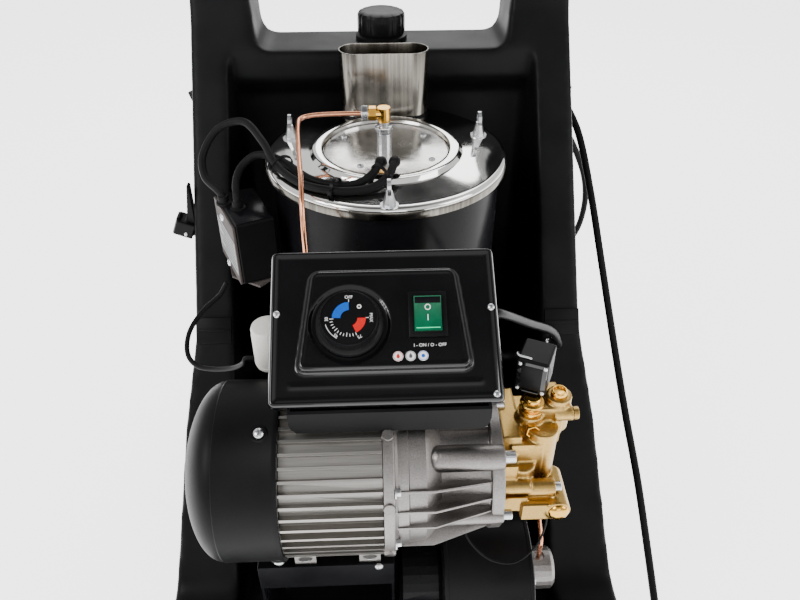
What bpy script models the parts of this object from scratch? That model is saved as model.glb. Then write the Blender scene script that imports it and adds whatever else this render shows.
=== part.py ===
"""Mobile hot-water steam cleaner, its hood off: moulded two-wheel chassis, vertical fired boiler,
motor pump lying across the front, control box above it, blower and fuel pump below it.

Metres, +Z up, front towards -Y. The origin is on the floor under the middle of the machine.
"""
import math

import bpy
import bmesh
from mathutils import Matrix, Vector

for old in list(bpy.data.objects):
    bpy.data.objects.remove(old, do_unlink=True)

# ------------------------------------------------------------------ driving dimensions
GAP = 0.0003                    # clearance kept where two pieces touch
MERGE = 0.00001                 # merge distance of every modifier and weld

FRONT, REAR = -0.387, 0.387     # ends of the machine
TOP = 0.880                     # top of the handle
WALL_OUT, WALL_IN = 0.247, 0.197   # outer and inner half width of the chassis walls
SKIRT_OUT = 0.279               # half width where the chassis flares out near the floor
BASE_LOW, PAN_TOP = 0.060, 0.085   # underside of the chassis and floor of its pan
BACK_IN, BACK_OUT = 0.290, 0.335   # front and rear face of the back panel
CROSS_TOP = 0.652               # top of the crossbar, which carries the filler neck

WHEEL_R, WHEEL_W = 0.125, 0.048
WHEEL_X = 0.2490                # inner face of the wheels
AXLE_Y, AXLE_Z, AXLE_R = 0.262, WHEEL_R, 0.010

EDGE_FOOT_Y, EDGE_FOOT_Z, EDGE_SLOPE = -0.168, 0.095, 0.767   # sloping front edge of the side walls

BOILER_Y = 0.112
JACKET_R, JACKET_WALL = 0.134, 0.002
LID_R, LID_TOP = 0.1412, 0.585
HEAD_R = 0.0747                 # burner head plate in the middle of the lid

SHAFT_Y, SHAFT_Z = -0.199, 0.391   # axis of the motor and the pump
COWL_R, BODY_R, FIN_R = 0.088, 0.078, 0.085
COWL_WALL, COWL_CREASE, COWL_EYE_R = 0.0025, -0.1660, 0.0100
DOME_DEPTH = 0.0375             # of the cowl's end beyond its crease
FINS = 44
MOTOR_LEFT, MOTOR_RIGHT = -0.1080, -0.0140
PUMP_FACE = 0.099               # where the pump head meets the crankcase

PANEL_W, PANEL_L, PANEL_T = 0.210, 0.150, 0.005
PANEL_AT = Vector((-0.009, -0.164, 0.5395))
PANEL_TILT = math.radians(32.7)
CONSOLE_FOOT, CONSOLE_H = 0.002, 0.009   # foot and height of the raised console above the panel's underside
KNOB_X, KNOB_S = -0.0317, -0.001   # knob axis, across and up the panel
ROCKER_X, ROCKER_S = 0.0390, 0.006
ROCKER_REST = math.radians(7)

BLOWER_Y, BLOWER_Z, BLOWER_R = -0.190, 0.190, 0.075
BLOWER_LEFT, BLOWER_RIGHT = 0.050, 0.148
DUCT_LEFT, DUCT_RIGHT = 0.059, 0.101   # inside of the air duct from blower to boiler
DUCT_LOW, DUCT_HIGH, DUCT_WALL = 0.169, 0.211, 0.003

CORD_R = 0.005
END_RUN = 0.004                 # straight run at each end of a tube, square to what it meets
HOOK_X, HOOK_END, HOOK_Z, HOOK_R = 0.150, 0.273, 0.545, 0.006
HOOK_Y = 0.366
COIL_IN, COIL_OUT = 0.0445, 0.0860   # bundle of turns hung on the left hook

parts = bpy.data.collections.new("steam_cleaner")
cutters = bpy.data.collections.new("cutters")
bpy.context.scene.collection.children.link(parts)
bpy.context.scene.collection.children.link(cutters)


# ------------------------------------------------------------------ materials
def finish(name, colour, roughness, metallic=0.0):
    """A Principled material with one colour."""
    made = bpy.data.materials.new(name)
    made.use_nodes = True
    shader = made.node_tree.nodes["Principled BSDF"]
    shader.inputs["Base Color"].default_value = (*colour, 1.0)
    shader.inputs["Roughness"].default_value = roughness
    shader.inputs["Metallic"].default_value = metallic
    made.diffuse_color = (*colour, 1.0)
    return made


MOULDED = finish("moulded_black", (0.018, 0.018, 0.019), 0.55)
GLOSS = finish("gloss_black", (0.010, 0.010, 0.011), 0.12)
RUBBER = finish("rubber", (0.015, 0.015, 0.015), 0.80)
ENAMEL = finish("enamel_black", (0.012, 0.012, 0.014), 0.30)
POLISHED = finish("polished_steel", (0.80, 0.79, 0.77), 0.10, 1.0)
ZINC = finish("zinc_steel", (0.62, 0.63, 0.65), 0.35, 1.0)
ALLOY = finish("cast_alloy", (0.60, 0.58, 0.56), 0.45, 1.0)
BRASS = finish("brass", (0.78, 0.55, 0.25), 0.35, 1.0)
COPPER = finish("copper", (0.82, 0.38, 0.22), 0.28, 1.0)
WINDING = finish("winding", (0.55, 0.25, 0.10), 0.50, 1.0)
CREAM = finish("cream_plastic", (0.80, 0.78, 0.72), 0.50)
GREEN = finish("green_lens", (0.02, 0.45, 0.20), 0.20)
GREY = finish("grey_plastic", (0.10, 0.10, 0.11), 0.50)


# ------------------------------------------------------------------ shape helpers
ALONG = {"X": (0.0, math.pi / 2, 0.0), "Y": (-math.pi / 2, 0.0, 0.0), "Z": (0.0, 0.0, 0.0)}
PLANE = {"XY": (0.0, 0.0, 0.0), "XZ": (math.pi / 2, 0.0, 0.0), "YZ": (math.pi / 2, 0.0, math.pi / 2)}


def place(name, data, material, where=(0, 0, 0), turn=(0, 0, 0)):
    """Put data in the parts collection under the given name."""
    made = bpy.data.objects.new(name, data)
    made.location = where
    made.rotation_euler = turn
    data.materials.append(material)
    parts.objects.link(made)
    return made


def mesh_of(name, shape):
    """Turn a bmesh into a smooth-shaded mesh."""
    mesh = bpy.data.meshes.new(name)
    shape.to_mesh(mesh)
    shape.free()
    mesh.shade_smooth()
    mesh.set_sharp_from_angle(angle=math.radians(35))
    return mesh


def box(name, low, high, material, bevel=0.0):
    """A box between two corners, its edges rounded if bevel is given."""
    low, high = Vector(low), Vector(high)
    shape = bmesh.new()
    bmesh.ops.create_cube(shape, size=1.0)
    bmesh.ops.scale(shape, vec=high - low, verts=shape.verts)
    made = place(name, mesh_of(name, shape), material, (low + high) / 2)
    if bevel:
        round_edges(made, bevel)
    return made


def rod(name, radius, start, end, centre, material, axis="Z", sides=24):
    """A cylinder from start to end along an axis; centre gives its other two coordinates."""
    shape = bmesh.new()
    bmesh.ops.create_cone(shape, cap_ends=True, segments=sides, radius1=radius, radius2=radius,
                          depth=end - start)
    where = list(centre)
    where.insert("XYZ".index(axis), (start + end) / 2)
    return place(name, mesh_of(name, shape), material, where, ALONG[axis])


def turned(name, profile, material, where, axis="Z", sides=24, ring=False):
    """A profile of (radius, height) points, running down its outer side, turned about an axis."""
    mesh = bpy.data.meshes.new(name)
    count = len(profile)
    edges = [(i, i + 1) for i in range(count - 1)]
    if ring:
        edges.append((count - 1, 0))
    mesh.from_pydata([(r, 0.0, z) for r, z in profile], edges, [])
    made = place(name, mesh, material, where, ALONG[axis])
    screw = made.modifiers.new("turn", "SCREW")
    screw.axis = "Z"
    screw.angle = 2 * math.pi
    screw.steps = sides
    screw.render_steps = sides
    screw.use_merge_vertices = True
    screw.merge_threshold = MERGE
    return made


def rounded(corners, steps=3):
    """Points of a closed outline from (x, y, radius) corners, each corner an arc."""
    points = []
    count = len(corners)
    for i, (x, y, radius) in enumerate(corners):
        here = Vector((x, y))
        before = (Vector(corners[i - 1][:2]) - here)
        after = (Vector(corners[(i + 1) % count][:2]) - here)
        if radius == 0.0:
            points.append(here)
            continue
        before.normalize()
        after.normalize()
        half = before.angle(after) / 2
        reach = radius / math.tan(half)
        middle = here + (before + after).normalized() * radius / math.sin(half)
        start = here + before * reach - middle
        end = here + after * reach - middle
        sweep = start.angle_signed(end)
        for k in range(steps + 1):
            spoke = start.copy()
            spoke.rotate(Matrix.Rotation(-sweep * k / steps, 2))
            points.append(middle + spoke)
    return points


def circle(radius, sides=24, centre=(0.0, 0.0)):
    """Points of a circle."""
    step = 2 * math.pi / sides
    angles = [(i + 0.5) * step for i in range(sides)]
    return [(centre[0] + radius * math.cos(a), centre[1] + radius * math.sin(a)) for a in angles]


def star(teeth, inner, outer, share=0.4):
    """Outline of a finned or bladed round piece: square teeth between two radii."""
    points = []
    step = 2 * math.pi / teeth
    for i in range(teeth):
        for radius, part in ((inner, 0.0), (outer, 0.0), (outer, share), (inner, share)):
            angle = (i + part) * step
            points.append((radius * math.cos(angle), radius * math.sin(angle)))
    return points


def slab(name, outlines, thickness, material, where=(0, 0, 0), turn=PLANE["XY"]):
    """A flat outline, with holes if more outlines follow, given a thickness; made a mesh."""
    curve = bpy.data.curves.new(name, "CURVE")
    curve.dimensions = "2D"
    curve.fill_mode = "BOTH"
    curve.extrude = thickness / 2
    for outline in outlines:
        spline = curve.splines.new("POLY")
        spline.points.add(len(outline) - 1)
        for point, (x, y) in zip(spline.points, outline):
            point.co = (x, y, 0.0, 1.0)
        spline.use_cyclic_u = True
    drawn = place(name, curve, material, where, turn)
    return as_mesh(drawn)


def as_mesh(drawn):
    """Replace a curve object by a mesh object whose caps are welded on."""
    name = drawn.name
    bpy.context.view_layer.update()
    seen = drawn.evaluated_get(bpy.context.evaluated_depsgraph_get())
    mesh = bpy.data.meshes.new_from_object(seen)
    shape = bmesh.new()
    shape.from_mesh(mesh)
    bmesh.ops.remove_doubles(shape, verts=shape.verts, dist=MERGE)
    shape.to_mesh(mesh)
    shape.free()
    made = bpy.data.objects.new(name, mesh)
    parts.objects.link(made)
    made.matrix_world = drawn.matrix_world.copy()
    bpy.data.objects.remove(drawn, do_unlink=True)
    made.name = name
    return made


def tube(name, points, radius, material):
    """A round wire, pipe or cord through the points."""
    curve = bpy.data.curves.new(name, "CURVE")
    curve.dimensions = "3D"
    curve.bevel_depth = radius
    curve.bevel_resolution = 2
    curve.use_fill_caps = True
    spline = curve.splines.new("POLY")
    spline.points.add(len(points) - 1)
    for point, place_at in zip(spline.points, points):
        point.co = (*place_at, 1.0)
    return place(name, curve, material)


def smooth_route(points, spacing):
    """Evenly spaced points on one smooth curve through the route's own points, ends straight."""
    knots = [Vector(p) for p in points]
    knots = [2 * knots[0] - knots[1]] + knots + [2 * knots[-1] - knots[-2]]
    fine = []
    steps = 24
    for a, b, c, d in zip(knots, knots[1:], knots[2:], knots[3:]):
        for k in range(steps):
            t = k / steps
            fine.append(0.5 * (2 * b + (c - a) * t + (2 * a - 5 * b + 4 * c - d) * t ** 2
                               + (3 * b - a - 3 * c + d) * t ** 3))
    fine.append(knots[-2])
    lengths = [0.0]
    for p, q in zip(fine, fine[1:]):
        lengths.append(lengths[-1] + (q - p).length)
    count = max(2, round(lengths[-1] / spacing))
    even = []
    k = 0
    for i in range(count + 1):
        goal = lengths[-1] * i / count
        while k < len(fine) - 2 and lengths[k + 1] < goal:
            k += 1
        share = (goal - lengths[k]) / (lengths[k + 1] - lengths[k])
        even.append(fine[k].lerp(fine[k + 1], share))
    even.insert(1, even[0] + (knots[2] - knots[1]).normalized() * END_RUN)
    even.insert(-1, even[-1] - (knots[-2] - knots[-3]).normalized() * END_RUN)
    return even


def round_edges(made, width, segments=2):
    """Round the sharp edges of a piece."""
    bevel = made.modifiers.new("edges", "BEVEL")
    bevel.width = width
    bevel.segments = segments
    bevel.limit_method = "ANGLE"
    bevel.angle_limit = math.radians(40)


def combine(made, other, operation):
    """Cut or join one piece with another, which becomes a hidden cutter or guide."""
    other.hide_render = True
    other.display_type = "WIRE"
    parts.objects.unlink(other)
    cutters.objects.link(other)
    step = made.modifiers.new(other.name, "BOOLEAN")
    step.operation = operation
    step.object = other
    step.solver = "EXACT"


def cut(made, *others):
    """Cut the other pieces out of one piece."""
    for other in others:
        combine(made, other, "DIFFERENCE")


def join(made, *others):
    """Join the other pieces onto one piece."""
    for other in others:
        combine(made, other, "UNION")


def mirrored(x_side):
    """Name ending of a left or right piece."""
    return "right" if x_side > 0 else "left"


# ------------------------------------------------------------------ chassis and running gear
def edge_y(height):
    """Front edge of the sloping chassis walls at a height."""
    return EDGE_FOOT_Y + EDGE_SLOPE * (height - EDGE_FOOT_Z)


def make_chassis():
    side = rounded([(FRONT, BASE_LOW, 0.015), (FRONT, 0.112, 0.020), (edge_y(0.112), 0.112, 0.040),
                    (edge_y(0.705), 0.705, 0.120), (0.336, TOP, 0.022), (REAR, TOP, 0.022),
                    (REAR, 0.700, 0.060), (BACK_OUT, 0.610, 0.060), (BACK_OUT, 0.110, 0.030),
                    (0.290, BASE_LOW, 0.020)])
    chassis = slab("chassis", [side], 0.70, MOULDED, turn=PLANE["YZ"])
    half = [(0.272, 0.040), (SKIRT_OUT, 0.095), (0.262, 0.270), (WALL_OUT, 0.360), (0.246, 0.700)]
    front = [(x, z, 0.0) for x, z in half] + [(0.243, TOP - 0.0005, 0.050)]
    front += [(-0.243, TOP - 0.0005, 0.050)] + [(-x, z, 0.0) for x, z in reversed(half)]
    width = slab("chassis_width", [rounded(front)], 1.2, MOULDED, turn=PLANE["XZ"])
    combine(chassis, width, "INTERSECT")
    niche = rounded([(FRONT + 0.024, PAN_TOP, 0.010), (FRONT + 0.024, 0.95, 0.0), (0.262, 0.95, 0.0),
                     (0.262, 0.616, 0.0), (BACK_IN, 0.590, 0.0), (BACK_IN, PAN_TOP, 0.030)])
    cut(chassis, slab("niche", [niche], 2 * WALL_IN, MOULDED, turn=PLANE["YZ"]))
    grip = rounded([(0.161, CROSS_TOP, 0.018), (0.186, 0.818, 0.030), (-0.186, 0.818, 0.030),
                    (-0.161, CROSS_TOP, 0.018)])
    cut(chassis, slab("grip_opening", [grip], 0.40, MOULDED, (0, 0.35, 0), PLANE["XZ"]))
    for x_side in (1, -1):
        well = rod("wheel_well_" + mirrored(x_side), 0.142, 0.2430, 0.35, (AXLE_Y, AXLE_Z), MOULDED,
                   "X", 32)
        well.location.x *= x_side
        cut(chassis, well)
    cut(chassis, rod("axle_bore", AXLE_R + GAP, -0.4, 0.4, (AXLE_Y, AXLE_Z), MOULDED, "X"))


def make_running_gear():
    rod("wheel_axle", AXLE_R, -0.292, 0.292, (AXLE_Y, AXLE_Z), ZINC, "X")
    tyre_in = 0.092
    for x_side in (1, -1):
        inner = WHEEL_X * x_side
        outer = (WHEEL_X + WHEEL_W) * x_side
        low, high = min(inner, outer), max(inner, outer)
        tyre = [(0.116, high), (WHEEL_R, high - 0.009), (WHEEL_R, low + 0.009), (0.116, low),
                (tyre_in, low + 0.004), (tyre_in, high - 0.004)]
        turned("tyre_" + mirrored(x_side), tyre, RUBBER, (0, AXLE_Y, AXLE_Z), "X", 28, ring=True)
        rim_r = tyre_in - GAP
        web = (low + high) / 2
        rim = [(rim_r, high - 0.004), (rim_r, low + 0.004), (0.080, low + 0.004), (0.074, web - 0.003),
               (0.026, web - 0.004), (0.022, low + 0.001), (AXLE_R + GAP, low + 0.001),
               (AXLE_R + GAP, high - 0.001), (0.022, high - 0.001), (0.026, web + 0.004),
               (0.074, web + 0.003), (0.080, high - 0.004)]
        turned("wheel_rim_" + mirrored(x_side), rim, GREY, (0, AXLE_Y, AXLE_Z), "X", 28, ring=True)
        foot = [(0, BASE_LOW - GAP), (0.024, BASE_LOW - GAP), (0.022, 0.004), (0.019, 0), (0, 0)]
        turned("foot_" + mirrored(x_side), foot, RUBBER, (0.200 * x_side, -0.320, 0), sides=20)


def make_hood_latch():
    """Latch block on the left wall that holds the hood down, with its rubber strap."""
    block = box("hood_latch", (-0.2780, 0.1380, 0.4480), (-WALL_OUT - 0.0008, 0.1720, 0.4840), RUBBER, 0.003)
    join(block, box("latch_strap", (-0.2620, 0.1500, 0.4700), (-0.2580, 0.1620, 0.5250), RUBBER))
    join(block, box("latch_ear", (-0.2600, 0.1490, 0.5150), (-WALL_OUT - 0.0008, 0.1630, 0.5270), RUBBER))


def make_filler():
    neck = [(0.021, 0.676), (0.026, 0.676), (0.026, 0.660), (0.034, 0.658), (0.034, CROSS_TOP + GAP),
            (0.021, CROSS_TOP + GAP)]
    turned("filler_neck", neck, MOULDED, (0, 0.315, 0), ring=True)
    cap = slab("filler_cap", [star(12, 0.0305, 0.0318, 0.7)], 0.028, MOULDED, (0, 0.315, 0.6755))
    cut(cap, rod("cap_hollow", 0.0270, 0.655, 0.6815, (0, 0.315), MOULDED))


# ------------------------------------------------------------------ boiler
def make_boiler():
    base = [(0, 0.1297), (0.130, 0.1297), (0.130, PAN_TOP + GAP), (0, PAN_TOP + GAP)]
    turned("boiler_base", base, ENAMEL, (0, BOILER_Y, 0), sides=36)
    inner = JACKET_R - JACKET_WALL
    jacket = [(inner, 0.5820), (JACKET_R, 0.5820), (JACKET_R, 0.130), (inner, 0.130)]
    jacket = turned("boiler_jacket", jacket, ENAMEL, (0, BOILER_Y, 0), sides=36, ring=True)
    cut(jacket, box("duct_mouth", (DUCT_LEFT, -0.06, DUCT_LOW), (DUCT_RIGHT, 0.10, DUCT_HIGH), ENAMEL))
    lid = [(0.0860, 0.5910), (0.0890, 0.5852), (0.1360, LID_TOP), (0.1402, 0.5830), (LID_R, 0.5700),
           (0.1390, 0.5700), (0.1380, 0.5826), (HEAD_R + GAP, 0.5826), (HEAD_R + GAP, 0.5910)]
    lid = turned("boiler_lid", lid, POLISHED, (0, BOILER_Y, 0), sides=36, ring=True)
    flue = oval(0.0520, 0.0180)
    cut(lid, slab("flue_hole", [flue], 0.05, POLISHED, (0.001, 0.226, LID_TOP)))
    slab("chimney", [oval(0.0560, 0.0220), oval(0.0545, 0.0205)], 0.0817, POLISHED,
         (0.001, 0.226, LID_TOP + GAP + 0.0817 / 2))
    plate = [(0, 0.5865), (HEAD_R - 0.004, 0.5865), (HEAD_R, 0.5850), (HEAD_R, 0.5830), (0, 0.5830)]
    plate = turned("burner_head_plate", plate, POLISHED, (0, BOILER_Y, 0), sides=36)
    cut(plate, rod("nozzle_hole", 0.0085 + GAP, 0.57, 0.60, (-0.002, BOILER_Y), POLISHED))
    turns, per_turn, coil_r = 4, 12, 0.110
    helix = []
    for i in range(turns * per_turn + 1):
        angle = 2 * math.pi * i / per_turn
        helix.append((coil_r * math.cos(angle), BOILER_Y + coil_r * math.sin(angle),
                      0.240 + 0.072 * i / per_turn))
    tube("heating_coil", helix, 0.010, ZINC)


def oval(half_width, half_depth, steps=8):
    """A flat-sided tube's section: two straight sides and two round ends."""
    points = []
    reach = half_width - half_depth
    for x_side, start in ((1, -math.pi / 2), (-1, math.pi / 2)):
        for k in range(steps + 1):
            angle = start + math.pi * k / steps
            points.append((x_side * reach + half_depth * math.cos(angle), half_depth * math.sin(angle)))
    return points


def make_lid_nuts():
    places = {"left": (-0.1140, 0.148), "right": (0.1140, 0.148), "front": (0.000, -0.022)}
    for side, (x, y) in places.items():
        nut = [(0, 0.6030), (0.0035, 0.6020), (0.0050, 0.5950), (0.0070, 0.5880), (0.0070, LID_TOP + GAP),
               (0, LID_TOP + GAP)]
        nut = turned("lid_nut_" + side, nut, ZINC, (x, y, 0), sides=8)
        eye = slab("lid_nut_eye_" + side, [circle(0.0090, 16)], 0.004, ZINC, (x, y, 0.6060), PLANE["YZ"])
        cut(eye, rod("lid_nut_hole_" + side, 0.0050, x - 0.02, x + 0.02, (y, 0.6065), ZINC, "X", 12))
        join(nut, eye)


def make_burner_head():
    nozzle_x = -0.002
    stem = [(0, 0.6200), (0.0060, 0.6200), (0.0060, 0.6070), (0.0085, 0.6060), (0.0085, 0.5640),
            (0.0050, 0.5600), (0, 0.5600)]
    turned("nozzle_holder", stem, ZINC, (nozzle_x, BOILER_Y, 0), sides=16)
    elbow = rod("nozzle_elbow", 0.0075, 0.6203, 0.6370, (nozzle_x, BOILER_Y), BRASS, "Z", 16)
    join(elbow, rod("elbow_arm", 0.0068, -0.0200, nozzle_x, (BOILER_Y, 0.6300), BRASS, "X", 16))
    join(elbow, rod("elbow_nut", 0.0085, -0.0190, -0.0110, (BOILER_Y, 0.6300), BRASS, "X", 6))
    pipe = [(-0.0203, BOILER_Y, 0.6300), (-0.045, BOILER_Y, 0.6300), (-0.080, BOILER_Y, 0.6290),
            (-0.0965, 0.105, 0.6280), (-0.0985, 0.085, 0.6265), (-0.0950, 0.040, 0.6210),
            (-0.0900, -0.010, 0.6120), (-0.0880, -0.040, 0.5960), (-0.0870, -0.056, 0.5600),
            (-0.0850, -0.063, 0.5000), (-0.0800, -0.068, 0.4200), (-0.0600, -0.070, 0.3500),
            (0.0000, -0.074, 0.3150), (0.0800, -0.080, 0.2950), (0.1400, -0.092, 0.2800),
            (0.1620, -0.120, 0.2680), (0.1650, -0.155, 0.2580), (0.1650, -0.186, 0.2420),
            (0.1650, -0.190, 0.2250), (0.1650, -0.190, 0.2118)]
    tube("fuel_pipe", smooth_route(pipe, 0.022), 0.0026, COPPER)


def make_ignition():
    lead_r = 0.0045
    front = [(0.0080, 0.0560, 0.5960), (0.0080, 0.0400, 0.6040), (0.0010, 0.0200, 0.5990),
             (-0.0120, 0.0080, 0.5930), (-0.0320, 0.0020, 0.5903), (-0.0600, 0.0030, 0.5903),
             (-0.0930, 0.0200, 0.5903), (-0.1220, 0.0560, 0.5940), (-0.1400, 0.0880, 0.6090),
             (-0.1640, 0.1180, 0.6200), (-0.1950, 0.1210, 0.6100), (-0.2130, 0.1040, 0.5860),
             (-0.2100, 0.0840, 0.5680), (-0.1950, 0.0680, 0.5600), (-0.1880, 0.0620, 0.5530),
             (-0.1880, 0.0620, 0.5453)]
    rear = [(-0.0060, 0.0560, 0.5960), (-0.0080, 0.0420, 0.6030), (-0.0160, 0.0250, 0.5985),
            (-0.0300, 0.0160, 0.5925), (-0.0520, 0.0140, 0.5903), (-0.0840, 0.0300, 0.5903),
            (-0.1130, 0.0680, 0.5905), (-0.1330, 0.0860, 0.5915), (-0.1520, 0.0930, 0.5890),
            (-0.1670, 0.0850, 0.5790), (-0.1720, 0.0680, 0.5690), (-0.1700, 0.0490, 0.5600),
            (-0.1700, 0.0490, 0.5453)]
    tube("ignition_lead_front", smooth_route(front, 0.018), lead_r, RUBBER)
    tube("ignition_lead_rear", smooth_route(rear, 0.018), lead_r, RUBBER)
    yaw = math.radians(23.5)
    case = box("ignition_transformer", (-0.023, -0.040, -0.0395), (0.023, 0.040, 0.0395), RUBBER, 0.002)
    case.location = (-0.1635, 0.0550, 0.5055)
    case.rotation_euler = (0, 0, yaw)
    shelf = [(-0.1500, 0.0080), (-0.1280, 0.0340), (-0.1560, 0.0900), (-0.1800, 0.1300),
             (-WALL_IN + GAP, 0.1560), (-WALL_IN + GAP, 0.1200), (-0.1950, 0.0700), (-0.1850, 0.0300)]
    slab("transformer_bracket", [shelf], 0.003, ZINC, (0, 0, 0.4642))
    lead = [(-0.1905, 0.0200, 0.4625), (-0.2000, 0.0120, 0.4500), (-0.2180, -0.0040, 0.4400),
            (-0.2300, -0.0300, 0.4300), (-0.2290, -0.0550, 0.4200), (-0.2160, -0.0720, 0.4160),
            (-0.1940, -0.0850, 0.4220), (-0.1700, -0.1020, 0.4380), (-0.1540, -0.1180, 0.4580),
            (-0.1500, -0.1220, 0.4680), (-0.1407, -0.1220, 0.4680)]
    tube("transformer_lead", smooth_route(lead, 0.017), 0.0028, RUBBER)


# ------------------------------------------------------------------ motor and pump
def shaft_piece(name, profile, material, sides=24, ring=False):
    """A piece turned about the motor shaft; profile heights are X positions."""
    return turned(name, profile, material, (0, SHAFT_Y, SHAFT_Z), "X", sides, ring)


def cowl_end(radius, depth, steps=7):
    """Elliptical end of the fan cowl, from its crease to the opening round the shaft."""
    last = math.acos(COWL_EYE_R / radius)
    angles = [last * k / steps for k in range(steps + 1)]
    return [(radius * math.cos(a), COWL_CREASE - depth * math.sin(a)) for a in angles]


def make_motor():
    middle = (MOTOR_LEFT + MOTOR_RIGHT) / 2
    length = MOTOR_RIGHT - MOTOR_LEFT - 2 * GAP
    spin = (math.pi / 2, 0, math.pi / 2)
    fins = [star(FINS, BODY_R, FIN_R, 0.24), circle(0.070, FINS)]
    body = slab("motor_body", fins, length, ALLOY, (middle, SHAFT_Y, SHAFT_Z), spin)
    for number, x in enumerate((-0.0950, -0.0290)):
        foot = box("motor_foot_%d" % number, (x - 0.011, -0.2420, 0.2903), (x + 0.011, -0.1600, 0.3166),
                   ALLOY)
        join(body, foot)
    shield = [(0.0093, MOTOR_LEFT - GAP), (0.0830, MOTOR_LEFT - GAP), (0.0830, -0.1180), (0.0093, -0.1180)]
    shaft_piece("motor_end_shield", shield, ALLOY, 32, True)
    outer = [(COWL_R, MOTOR_LEFT - GAP)] + cowl_end(COWL_R - 0.0008, DOME_DEPTH)
    inner = cowl_end(COWL_R - COWL_WALL, DOME_DEPTH - COWL_WALL)
    cowl = outer + list(reversed(inner)) + [(COWL_R - COWL_WALL, MOTOR_LEFT - GAP)]
    cowl.insert(1, (COWL_R, COWL_CREASE))
    shaft_piece("fan_cowl", cowl, MOULDED, 32, True)
    stator = [(0.0695, -0.0250), (0.0695, -0.0980), (0.0480, -0.0980), (0.0480, -0.0250)]
    shaft_piece("stator", stator, WINDING, 24, True)
    rotor = [(0, 0.0620), (0.0090, 0.0620), (0.0090, -0.0280), (0.0470, -0.0280), (0.0470, -0.0950),
             (0.0090, -0.0950), (0.0090, -0.1650), (0, -0.1650)]
    shaft_piece("rotor_shaft", rotor, ZINC, 24)
    blades = [star(8, 0.0260, 0.0740, 0.12), circle(0.0093, 16)]
    slab("cooling_fan", blades, 0.026, GREY, (-0.143, SHAFT_Y, SHAFT_Z), spin)


def make_motor_bracket():
    left, right, top, wall = -0.145, -0.004, 0.2900, 0.003
    foot = PAN_TOP + GAP
    outline = [(left, foot), (left, top), (right, top), (right, foot), (right - wall, foot),
               (right - wall, top - wall), (left + wall, top - wall), (left + wall, foot)]
    bracket = slab("motor_bracket", [outline], 0.100, ENAMEL, (0, -0.193, 0), PLANE["XZ"])
    join(bracket, box("bracket_lip", (left, -0.2450, 0.2540), (right, -0.2420, top), ENAMEL))


def make_pump():
    case = [(0.0173, 0.0120), (0.0430, 0.0120), (0.0430, PUMP_FACE - GAP), (0.0630, PUMP_FACE - GAP),
            (0.0630, 0.0860), (0.0580, 0.0820), (0.0600, 0.0480), (0.0740, 0.0380), (0.0780, 0.0000),
            (0.0860, -0.0040), (0.0860, MOTOR_RIGHT), (0.0173, MOTOR_RIGHT)]
    case = shaft_piece("crankcase", case, ALLOY, 28, True)
    bolt_circle, big_boss = 0.0600, 52
    for number, degrees in enumerate((big_boss, -8, -68, 112, 172, 232)):
        angle = math.radians(degrees)
        y = SHAFT_Y - bolt_circle * math.cos(angle)
        z = SHAFT_Z + bolt_circle * math.sin(angle)
        radius = 0.0125 if degrees == big_boss else 0.0080
        boss = rod("bolt_boss_%d" % number, radius, 0.0270, PUMP_FACE - GAP, (y, z), ALLOY, "X", 20)
        join(case, boss)
        if degrees == big_boss:
            bolt = rod("pump_bolt", 0.0062, PUMP_FACE, 0.1090, (y, z), ZINC, "X", 20)
            cut(bolt, rod("bolt_socket", 0.0034, 0.1035, 0.1200, (y, z), ZINC, "X", 6))
    swash = rod("swash_plate", 0.0340, 0.0250, 0.0500, (SHAFT_Y, SHAFT_Z), ZINC, "X", 24)
    swash_slope = 0.16
    for corner in swash.data.vertices:
        if corner.co.z > 0:
            corner.co.z += swash_slope * corner.co.y
    cut(swash, rod("swash_bore", 0.0093, 0.00, 0.09, (SHAFT_Y, SHAFT_Z), ZINC, "X", 24))


def make_pump_head():
    block = box("pump_head", (PUMP_FACE, -0.2400, 0.3450), (0.1500, -0.1500, 0.4500), BRASS)
    cut(block, rod("bolt_room", 0.0135, 0.09, 0.16, (-0.2359, 0.4383), BRASS, "X", 20))
    join(block, rod("head_port_top", 0.0130, 0.4300, 0.4720, (0.1560, -0.1900), BRASS, "Z", 16))
    join(block, rod("head_port_front", 0.0120, -0.2560, -0.2000, (0.1530, 0.3900), BRASS, "Y", 16))
    join(block, box("head_block_low", (0.1180, -0.2540, 0.3700), (0.1500, -0.2000, 0.4020), BRASS))
    join(block, rod("head_outlet", 0.0090, 0.1400, 0.1740, (-0.1990, 0.4550), BRASS, "X", 16))
    join(block, rod("head_valve", 0.0110, 0.4400, 0.4752, (0.1290, -0.1950), BRASS, "Z", 16))
    case = box("pressure_switch", (-0.0150, -0.0170, -0.0190), (0.0150, 0.0170, 0.0190), RUBBER, 0.0020)
    case.location = (0.1330, -0.1750, 0.4945)
    case.rotation_euler = (0, 0, math.radians(-24))


# ------------------------------------------------------------------ control box
def on_panel(across, up, lift):
    """World position of a point given across, up and above the panel's middle."""
    sine, cosine = math.sin(PANEL_TILT), math.cos(PANEL_TILT)
    return PANEL_AT + Vector((across, up * cosine - lift * sine, up * sine + lift * cosine))


def panel_turned(name, profile, across, up, material, sides=32):
    """A piece turned about an axis square to the panel; profile heights are above the panel."""
    made = turned(name, profile, material, on_panel(across, up, 0), sides=sides)
    made.rotation_euler = (PANEL_TILT, 0, 0)
    return made


def panel_box(name, low, high, across, up, lift, material, bevel=0.0, lean=0.0):
    """A box between two corners given from a point of the panel, square to the panel or leaning on it."""
    made = box(name, low, high, material, bevel)
    made.location = on_panel(across, up, lift) + Matrix.Rotation(PANEL_TILT + lean, 3, "X") @ made.location
    made.rotation_euler = (PANEL_TILT + lean, 0, 0)
    return made


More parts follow.
